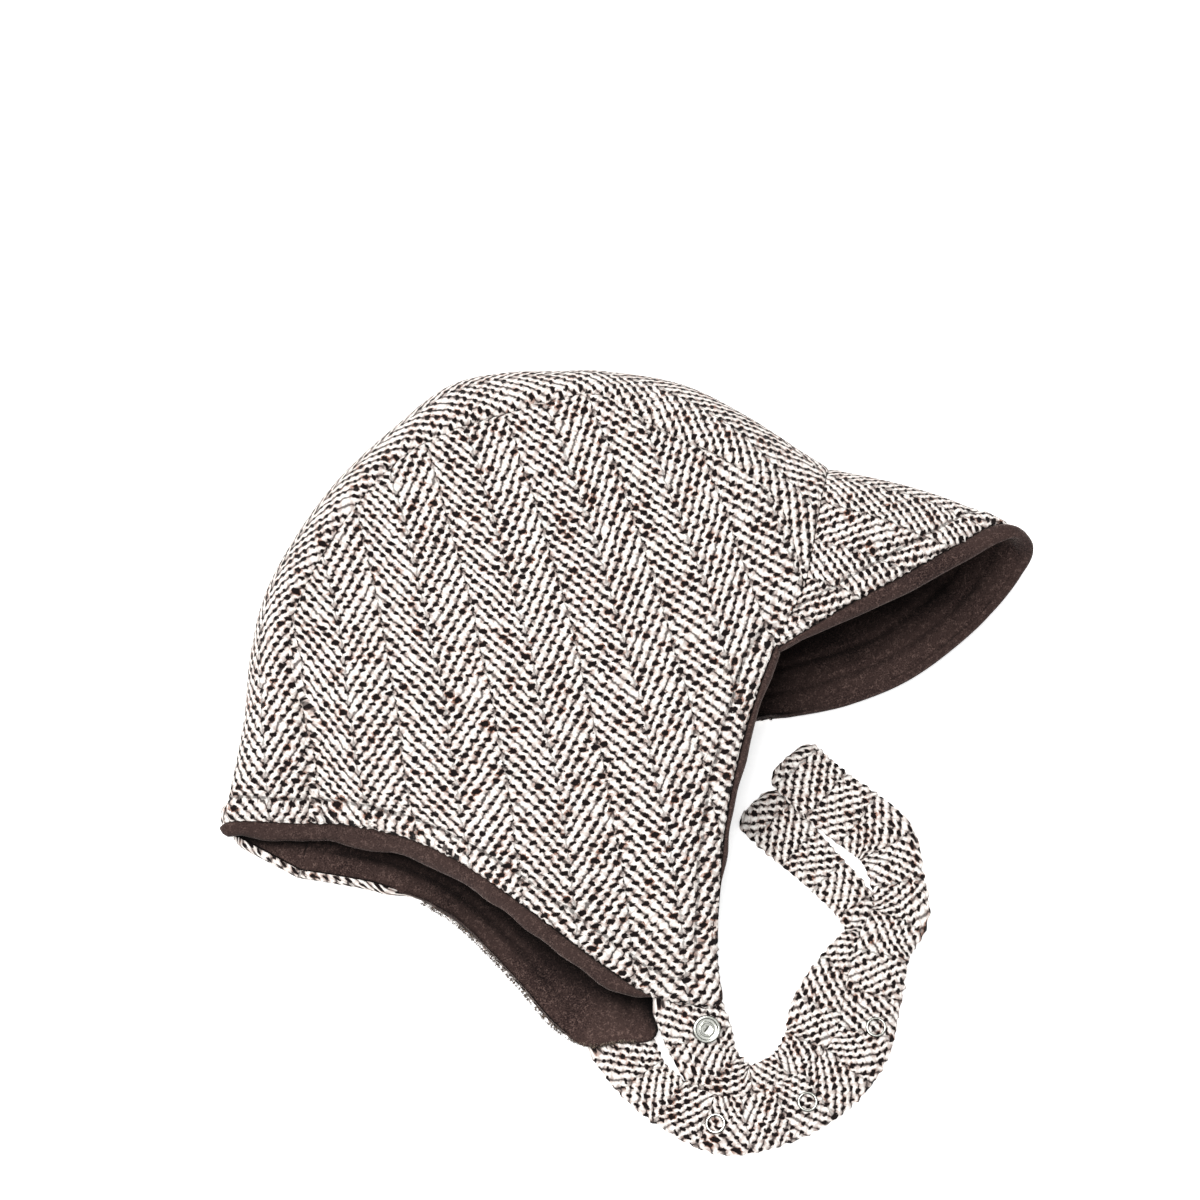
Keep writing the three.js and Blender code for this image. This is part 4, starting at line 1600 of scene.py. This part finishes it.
@dataclass
class CrownCloth:
    """The tweed and the fleece of the crown.

    The strip's curl and roll run from one share across it to another, with the fold at 0 and its lower seam
    at 1. The dip in its roll is a depth, a place across and a width.
    """

    crown: Crown
    wardrobe: Wardrobe
    table: bpy.types.Object
    strip_curl: Span = (0.0, 0.4)
    strip_roll: Span = (-0.35, 0.36)
    roll_dip: tuple[float, float, float] = (0.8, 0.4, 0.35)
    plump: float = 0.35
    groove: float = 0.8
    groove_width: float = 1.6
    pucker: float = 0.3
    pucker_width: float = 4.0
    waver: float = 0.07
    plump_waves: Span = (14.0, 40.0)
    pucker_waves: Span = (6.0, 14.0)
    waver_waves: Span = (14.0, 45.0)

    def make(self) -> None:
        """Makes the six pieces."""
        self.make_side(Side.LEFT)
        self.make_side(Side.RIGHT)
        self.make_strip()

    def make_side(self, side: Side) -> None:
        """Makes the tweed and the fleece of one side.

        Args:
            side: Which side.
        """
        crown = self.crown
        sheet = trimmed(crown.side_sheet(side))
        edge = crown.edge_row(side)
        rim = edge[: crown.temple + 1]
        relief = Relief(sheet, Seed[f"{side.name}_PANEL"])
        relief.seam(sheet.places[0])
        relief.seam(edge[crown.temple :], PEAK_SEAM)
        relief.turned_edge(rim)
        skin = relief.skin(SIDE_GRAIN)
        if side is Side.LEFT:
            amount = 1 - ease(crown.shares * LAST_SECTION, *CURL_END)
            skin = skin.turned(sheet, TWEED_CURL, amount, amount, CURL_SLANT)
        tweed = closed_mesh(f"{side.value}_panel", skin)
        self.wardrobe.dress(tweed, "tweed", f"crown_side_{side.value}")
        coarse = sheet.coarser()
        roll = np.interp(crown.shares[::2], crown.shares, crown.rolls(f"{side.value}_roll"))
        faces = self.lining(coarse, roll, rim, Seed[f"{side.name}_LINING"])
        tufts = FRINGE.along(faces) if side is Side.LEFT else None
        fleece = closed_mesh(f"{side.value}_lining", faces, tufts)
        self.wardrobe.dress(fleece, "fleece", f"lining_side_{side.value}")

    def make_strip(self) -> None:
        """Makes the tweed and the fleece of the centre strip."""
        crown = self.crown
        sheet = trimmed(crown.strip_sheet())
        rows = slice(crown.seam_row, crown.under_row + 1)
        rim = crown.grid[rows, 0]
        relief = Relief(sheet, Seed.STRIP)
        relief.seam(crown.grid[crown.seam_row])
        relief.seam(crown.grid[crown.under_row])
        relief.seam(crown.grid[rows, -1], PEAK_SEAM)
        relief.turned_edge(rim)
        amount = ease(-crown.over, *self.strip_curl)
        skin = relief.skin(Grain()).turned(sheet, TWEED_CURL, amount, amount, CURL_SLANT)
        tweed = closed_mesh("centre_strip", skin)
        self.wardrobe.dress(tweed, "tweed", "crown_centre")
        coarse = sheet.coarser()
        over = crown.over[::2]
        dip, *place = self.roll_dip
        full = SECTIONS[0].right_roll - dip * bump(over, *place)
        roll = full * (1 - ease(-over, *self.strip_roll))
        fleece = closed_mesh("centre_lining", self.lining(coarse, roll, rim, Seed.STRIP_LINING))
        self.wardrobe.dress(fleece, "fleece", "lining_centre")

    def lining(self, sheet: Sheet, roll: Array, edge: Array, seed: int) -> Skin:
        """Shapes a fleece piece of the crown.

        Args:
            sheet: The sheet of the outer face of the tweed over it.
            roll: How far it turns out past the tweed at each column.
            edge: The edge that its row of stitches follows.
            seed: Which unevenness it has.

        Returns:
            Its faces.
        """
        gap, along = near(sheet.places, edge)
        x, y = sheet.pattern[..., 0], sheet.pattern[..., 1]
        plump = self.plump * Ripples(seed, *self.plump_waves).over(x, y)
        plump -= self.groove * bump(gap, STITCH_INSET, self.groove_width)
        puckers = self.pucker * Ripples(seed + 1, *self.pucker_waves).along(along)
        plump += puckers * bump(gap, STITCH_INSET, self.pucker_width)
        waver = 1 + self.waver * Ripples(seed + 2, *self.waver_waves).along(along_line(sheet.places[-1]))
        return fleece_skin(sheet, plump, np.stack([along, gap], -1), roll, waver)


@dataclass
class Peak:
    """The peak: tweed over fleece, folded at its tip and sewn to the front of the crown."""

    crown: Crown
    wardrobe: Wardrobe
    table: bpy.types.Object
    lines: int = 201
    rows: int = 57
    soften: int = 6
    groove: float = 0.8
    rows_of_stitches: tuple[float, float] = (10.0, 20.0)
    row_depth: float = 0.6
    row_width: float = 1.5
    plump: float = 0.3
    plump_waves: Span = (12.0, 30.0)

    def sheet(self) -> tuple[Sheet, Array]:
        """Works out the peak from the crown to its edge.

        Returns:
            The sheet, and how far the fleece turns out at each line.
        """
        line, normal = self.crown.front_rim()
        out = unit(np.cross(np.gradient(line, axis=0), normal))
        along = along_line(line)
        portion = np.linspace(PEAK_TRIM, 1 - PEAK_TRIM, self.lines)
        at = portion * along[-1]
        root, root_normal, root_out = (columns_at(values, at, along) for values in (line, normal, out))
        edge_curve = Curve([point[:3] for point in PEAK_EDGE])
        shares = edge_curve.even(portion)
        edge = edge_curve.at(shares)
        start = root + root_out * SEAM_GAP
        step = np.linspace(0, 1, self.rows)[:, None, None]
        swell = PEAK_BULGE * np.sin(math.pi * step) * np.sin(math.pi * portion)[None, :, None]
        places = start + (edge - start) * step + unit(root_normal) * swell
        places[..., 2] = np.maximum(places[..., 2], 0)
        normals = -facing(places, self.soften)
        roll = field_at(PEAK_EDGE, "roll", shares * (len(PEAK_EDGE) - 1))
        reach = np.linalg.norm(edge - start, axis=1)
        around = along_line((start + edge) / 2)
        guess = np.stack([
            np.broadcast_to(around - around[-1] / 2, places.shape[:2]),
            step[..., 0] * reach,
        ], -1)
        pattern = cut_pattern(places, guess, rows=4, columns=5)
        tangent = np.gradient(edge, axis=0)
        off = unit(np.cross(tangent, normals[-1]))
        off *= np.sign((off * (places[-1] - places[-2])).sum(1, keepdims=True))
        return Sheet(places, normals, pattern, off), roll

    def make(self) -> None:
        """Makes the tweed and the fleece."""
        sheet, roll = self.sheet()
        edge = sheet.places[-1]
        relief = Relief(sheet, Seed.PEAK)
        relief.seam(sheet.places[0], PEAK_SEAM)
        relief.turned_edge(edge, self.groove)
        tweed = closed_mesh("peak_tweed", relief.skin(Grain(fineness=FINE_WEAVE)))
        self.wardrobe.dress(tweed, "tweed", "peak_top")
        gap, along = near(sheet.places, edge)
        plump = -sum(self.row_depth * bump(gap, inset, self.row_width) for inset in self.rows_of_stitches)
        ripples = Ripples(Seed.PEAK_FLEECE, *self.plump_waves)
        plump += self.plump * ripples.over(sheet.pattern[..., 0], sheet.pattern[..., 1])
        fleece = closed_mesh("peak_fleece", fleece_skin(sheet, plump, np.stack([along, gap], -1), roll))
        self.wardrobe.dress(fleece, "fleece", "peak_underside")


@dataclass
class Strap:
    """One chin strap: a turned tube of tweed, pressed flat, with a rounded end and uneven edges.

    A fade is how far something takes to die away, and the snap's reach is how many rows and places across it
    takes its slope from.
    """

    side: Side
    crown: Crown
    wardrobe: Wardrobe
    under: Sequence[Any]
    thickness: float = 2.6
    corner: float = 6.0
    rows: int = 361
    across: int = 25
    soften: int = 10
    end_crowding: float = 0.5
    crowded: Span = (0.8, 1.0)
    edge_crowding: float = 0.25
    stray: float = 0.42
    stray_power: int = 6
    stray_waves: tuple[float, float, int] = (3.2, 6.5, 7)
    stray_start: Span = (4.0, 12.0)
    sag_power: float = 1.5
    edge_drop: float = 0.8
    edge_width: float = 1.2
    lump: float = 0.4
    lump_fade: float = 2.5
    pucker: float = 0.5
    pucker_start: Span = (0.0, 3.0)
    seam_depth: float = 1.0
    seam_width: float = 1.1
    fullness: float = 0.8
    snap_reach: tuple[int, int] = (5, 4)

    def __post_init__(self) -> None:
        """Works out the middle line."""
        self.points = STRAPS[self.side]
        self.curve = Curve([(point.x, point.y, 0.0) for point in self.points])

    def between(self, name: str, shares: Array) -> Array:
        """Returns a column of the table at each share, smoothly between its rows."""
        return field_at(self.points, name, shares * (len(self.points) - 1))

    def start(self, over: Array) -> Array:
        """Finds where the strap is sewn to the tip of its flap.

        Args:
            over: Places across the strap, from -1 to 1.

        Returns:
            A place for each of them.
        """
        row = (FLAP_TIP[0] + (FLAP_TIP[1] - FLAP_TIP[0]) * (over + 1) / 2) / LAST_SECTION
        edge = self.crown.lines[self.side.value].at(row)
        edge[:, 2] = np.maximum(edge[:, 2] - TWEED / 2, self.thickness + 0.2)
        return edge

    def sheet(self) -> Sheet:
        """Works out the upper face of the strap, from the flap to the end.

        Returns:
            The sheet.
        """
        portion = np.linspace(0, 1, self.rows)
        crowded = self.end_crowding * (np.sin(math.pi * portion / 2) - portion)
        portion += crowded * ease(portion, *self.crowded)
        shares = self.curve.even(portion)
        centre = self.curve.at(shares)
        tangent = smoothed(unit(np.gradient(centre, axis=0)), self.soften)
        inner = np.stack([-tangent[:, 1], tangent[:, 0], np.zeros(self.rows)], -1)
        along = along_line(centre)
        width = self.between("width", shares)
        into = np.maximum(self.corner - (along[-1] - along), 0)
        half = width / 2 - self.corner + np.sqrt(np.maximum(self.corner**2 - into**2, 0))
        over = np.linspace(-1, 1, self.across)
        over = over + self.edge_crowding * np.sin(math.pi * over) / math.pi
        edges = (Seed.OUTER_EDGE, Seed.INNER_EDGE)
        outer, inside = (Ripples(seed, *self.stray_waves).along(along)[:, None] for seed in edges)
        lumps = self.stray * np.where(over < 0, outer, inside)
        stray = lumps * over**self.stray_power * ease(along, *self.stray_start)[:, None]
        places = centre[:, None] + inner[:, None] * (over * (half[:, None] + stray))[..., None]
        outer, middle, inside = (self.between(name, shares)[:, None] for name in ("outer", "middle", "inner"))
        rim = np.where(over < 0, outer, inside)
        places[..., 2] = middle + (rim - middle) * np.abs(over) ** self.sag_power + self.thickness
        places[0] = self.start(over)
        normals = np.broadcast_to((0.0, 0.0, 1.0), places.shape)
        pattern = np.stack([
            np.broadcast_to(along[:, None], places.shape[:2]),
            over[None, :] * width[:, None] / 2,
        ], -1)
        return Sheet(places, normals, pattern)

    def surface(self, place: Array) -> tuple[Array, Array]:
        """Finds the strap's upper face under a place.

        Args:
            place: The place.

        Returns:
            The nearest point of the face, and the direction out of it over the width of a snap.
        """
        grid = self.sheet().places
        gap = np.linalg.norm(grid[..., :2] - place[:2], axis=2)
        i, j = np.unravel_index(gap.argmin(), gap.shape)
        rows, places = self.snap_reach
        ahead = grid[i + rows, j] - grid[i - rows, j]
        across = grid[i, j + places] - grid[i, j - places]
        point = np.array([place[0], place[1], grid[i, j, 2]])
        return point, unit(np.cross(ahead, across))

    def make(self) -> bpy.types.Object:
        """Makes the strap.

        Returns:
            The strap.
        """
        sheet = self.sheet()
        rim = np.concatenate([sheet.places[:, 0], sheet.places[-1], sheet.places[::-1, -1]])
        gap, along = near(sheet.places, rim)
        relief = Relief(sheet, Seed[f"{self.side.name}_STRAP"])
        relief.height -= self.edge_drop * bump(gap, 0, self.edge_width)
        relief.height += self.lump * relief.lumps.along(along) * np.exp(-gap / self.lump_fade)
        puckers = self.pucker * relief.puckers.over(sheet.pattern[..., 0], sheet.pattern[..., 1])
        relief.height += puckers * ease(gap, *self.pucker_start)
        from_seam, _ = near(sheet.places, sheet.places[0])
        relief.height -= self.seam_depth * bump(from_seam, 0, self.seam_width)
        top, bottom = sheet.sunk(-relief.height), sheet.sunk(self.thickness)
        skin = Skin(top, bottom, sheet.pattern * FINE_WEAVE, relief.sewing, self.fullness)
        piece = closed_mesh(f"{self.side.value}_strap", skin)
        self.wardrobe.dress(piece, "tweed", f"chin_strap_{self.side.value}")
        return piece


class Step(NamedTuple):
    """One inset of a face: how far in the new face's border lies, and how far out it rises."""

    inset: float
    rise: float


class SnapShape(Enum):
    """The pressed shapes of a ring snap's parts, from the outer wall to the middle, in millimetres."""

    SOCKET = (
        Step(0.35, 0.4),
        Step(0.4, 0.12),
        Step(0.4, -0.12),
        Step(0.3, -0.55),
        Step(1.1, -0.1),
        Step(0.25, 0.3),
        Step(0.35, 0.0),
        Step(0.25, -0.3),
    )
    RING = (
        Step(0.3, 0.42),
        Step(0.25, 0.05),
        Step(0.25, -0.05),
        Step(0.22, -0.42),
    )


@dataclass
class Snap:
    """One metal part of a ring snap, pressed into a strap.

    Below the deepest level it is painted all dark, as shade. An edge past the sharpest angle, in degrees,
    isn't smoothed.
    """

    name: str
    shape: SnapShape
    strap: Strap
    width: float
    wall: float
    deepest: float = 1.1
    slot: tuple[float, float] | None = None
    turn: float = -35.0
    sides: int = 48
    rounding: float = 0.07
    rounding_steps: int = 2
    sharpest: float = 50.0
    slot_rim: float = 0.1
    slot_wall: float = 0.08
    slot_depth: float = 0.5
    wall_reflection_shade: float = 1.9

    def make(self, wardrobe: Wardrobe) -> bpy.types.Object:
        """Makes the snap, presses it to its shape and lays it on its strap.

        Args:
            wardrobe: The finishes.

        Returns:
            The snap.
        """
        bpy.ops.object.select_all(action="DESELECT")
        radius = self.width / 2 * MM
        bpy.ops.mesh.primitive_cylinder_add(
            vertices=self.sides, radius=radius, depth=self.wall * MM, calc_uvs=False
        )
        piece = bpy.context.object
        piece.name = piece.data.name = f"{self.name}_metal"
        bpy.ops.object.mode_set(mode="EDIT")
        self.choose(piece, highest=True)
        for step in self.shape.value:
            bpy.ops.mesh.inset(thickness=step.inset * MM, depth=step.rise * MM)
        if self.slot:
            self.cut_slot()
        else:
            self.open_middle(piece)
        bpy.ops.object.mode_set(mode="OBJECT")
        bevel = piece.modifiers.new("rounded", "BEVEL")
        bevel.width = self.rounding * MM
        bevel.segments = self.rounding_steps
        bpy.ops.object.modifier_apply(modifier=bevel.name)
        bpy.ops.object.shade_smooth_by_angle(angle=math.radians(self.sharpest))
        self.shade_and_reflection(piece)
        self.lay(piece)
        wardrobe.dress(piece, "snap_metal", self.name)
        return piece

    def choose(self, piece: bpy.types.Object, highest: bool) -> None:
        """Selects the highest or the lowest many-sided face.

        Args:
            piece: The snap, in edit mode.
            highest: Whether to select the highest one.
        """
        work = bmesh.from_edit_mesh(piece.data)
        caps = sorted((face for face in work.faces if len(face.verts) == self.sides), key=self.height_of)
        for face in work.faces:
            face.select_set(face is caps[-1 if highest else 0])
        bmesh.update_edit_mesh(piece.data)

    @staticmethod
    def height_of(face: bmesh.types.BMFace) -> float:
        """Returns how high the middle of a face is."""
        return face.calc_center_median().z

    def cut_slot(self) -> None:
        """Presses a slot into the chosen middle face and turns it."""
        middle = self.width / 2 - sum(step.inset for step in self.shape.value)
        length, width = (size / 2 / middle for size in self.slot)
        bpy.ops.mesh.inset(thickness=self.slot_rim * MM, depth=0.0)
        bpy.ops.transform.resize(value=(length, width, 1.0), center_override=(0.0, 0.0, 0.0))
        bpy.ops.mesh.inset(thickness=self.slot_wall * MM, depth=-self.slot_depth * MM)
        bpy.ops.mesh.select_all(action="SELECT")
        angle = math.radians(self.turn)
        bpy.ops.transform.rotate(value=angle, orient_axis="Z", center_override=(0.0, 0.0, 0.0))

    def open_middle(self, piece: bpy.types.Object) -> None:
        """Opens the ring from its chosen upper face through to its underside.

        Args:
            piece: The snap, in edit mode.
        """
        inner = sum(step.inset for step in self.shape.value)
        bpy.ops.mesh.delete(type="ONLY_FACE")
        self.choose(piece, highest=False)
        bpy.ops.mesh.inset(thickness=inner * MM, depth=0.0)
        bpy.ops.mesh.delete(type="ONLY_FACE")
        bpy.ops.mesh.select_all(action="DESELECT")
        bpy.ops.mesh.select_non_manifold()
        bpy.ops.mesh.bridge_edge_loops()

    def shade_and_reflection(self, piece: bpy.types.Object) -> None:
        """Marks how dark each face is.

        Crests and the dish are bright; walls get a painted dark reflection and the slot painted shade.

        Args:
            piece: The snap.
        """
        top = max(vertex.co.z for vertex in piece.data.vertices)
        marks = piece.data.attributes.new("shade_and_reflection", "FLOAT", "FACE")
        dark = []
        for face in piece.data.polygons:
            sunk = (top - face.center.z) / MM
            # Painted dark reflection on steep walls, and painted shade below the deepest level.
            dark.append(self.wall_reflection_shade * (1 - abs(face.normal.z)) + (sunk > self.deepest))
        marks.data.foreach_set("value", [min(value, 1.0) for value in dark])

    def lay(self, piece: bpy.types.Object) -> None:
        """Lays the snap on the strap at the strap's own slope, and applies its place.

        Args:
            piece: The snap.
        """
        low, high = (np.array(corner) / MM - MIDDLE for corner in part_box(self.name))
        centre = (low + high) / 2
        place, normal = self.strap.surface(centre)
        piece.rotation_mode = "QUATERNION"
        piece.rotation_quaternion = Vector((0, 0, 1)).rotation_difference(Vector(normal))
        piece.location = Vector((place + normal * self.wall / 2 + MIDDLE) * MM)
        bpy.ops.object.transform_apply(location=True, rotation=True, scale=True)


def make_table() -> bpy.types.Object:
    """Makes the pale table just under the hat.

    Returns:
        The table.
    """
    reach, low = 3.0, -0.0004
    mesh = bpy.data.meshes.new("table")
    corners = [(-reach, -reach, low), (reach, -reach, low), (reach, reach, low), (-reach, reach, low)]
    mesh.from_pydata(corners, [], [(0, 1, 2, 3)])
    table = bpy.data.objects.new("table", mesh)
    table.data.materials.append(PaperFinish().make())
    bpy.context.scene.collection.objects.link(table)
    return table


@dataclass
class Studio:
    """A pale sky, one square lamp and the camera. Lengths are in metres and angles in degrees."""

    azimuth: float = -20.0
    elevation: float = 75.0
    aim: tuple[float, float, float] = (0.0045, 0.0717, 0.0)
    distance: float = 12.0
    lens: float = 878.0
    sky: float = 0.75
    lamp_place: tuple[float, float, float] = (-1.0, 0.6, 3.8)
    lamp_size: float = 3.0
    lamp_power: float = 171.0

    def make(self) -> None:
        """Makes the lights, the camera and the tone."""
        scene = bpy.context.scene
        scene.view_settings.view_transform = "Standard"
        world = bpy.data.worlds.new("studio")
        world.use_nodes = True
        background = world.node_tree.nodes["Background"]
        background.inputs["Color"].default_value = (1.0, 1.0, 1.0, 1.0)
        background.inputs["Strength"].default_value = self.sky
        scene.world = world
        self.hang_lamp()
        azimuth, elevation = math.radians(self.azimuth), math.radians(self.elevation)
        back = Vector((
            math.sin(azimuth) * math.cos(elevation),
            -math.cos(azimuth) * math.cos(elevation),
            math.sin(elevation),
        ))
        data = bpy.data.cameras.new("camera")
        data.lens = self.lens
        camera = bpy.data.objects.new("camera", data)
        camera.location = Vector(self.aim) + back * self.distance
        camera.rotation_euler = (-back).to_track_quat("-Z", "Y").to_euler()
        scene.collection.objects.link(camera)
        scene.camera = camera

    def hang_lamp(self) -> None:
        """Hangs a square lamp that shines at the hat."""
        data = bpy.data.lights.new("key", "AREA")
        data.size = self.lamp_size
        data.energy = self.lamp_power
        lamp = bpy.data.objects.new("key", data)
        lamp.location = self.lamp_place
        lamp.rotation_euler = (-Vector(self.lamp_place)).to_track_quat("-Z", "Y").to_euler()
        bpy.context.scene.collection.objects.link(lamp)


def main() -> None:
    """Makes the hat, the light and the camera."""
    logging.basicConfig(level=logging.INFO, format="%(message)s")
    Studio().make()
    table = make_table()
    wardrobe = Wardrobe()
    crown = Crown()
    CrownCloth(crown, wardrobe, table).make()
    Peak(crown, wardrobe, table).make()
    right = Strap(Side.RIGHT, crown, wardrobe, [table])
    left = Strap(Side.LEFT, crown, wardrobe, [table, right.make()])
    left.make()
    socket = Snap("snap_socket", SnapShape.SOCKET, right, width=11.4, wall=1.5, slot=(3.4, 1.0))
    socket.make(wardrobe)
    for number in (1, 2, 3):
        Snap(f"snap_ring_{number}", SnapShape.RING, left, width=8.4, wall=0.7).make(wardrobe)


if __name__ == "__main__":
    main()
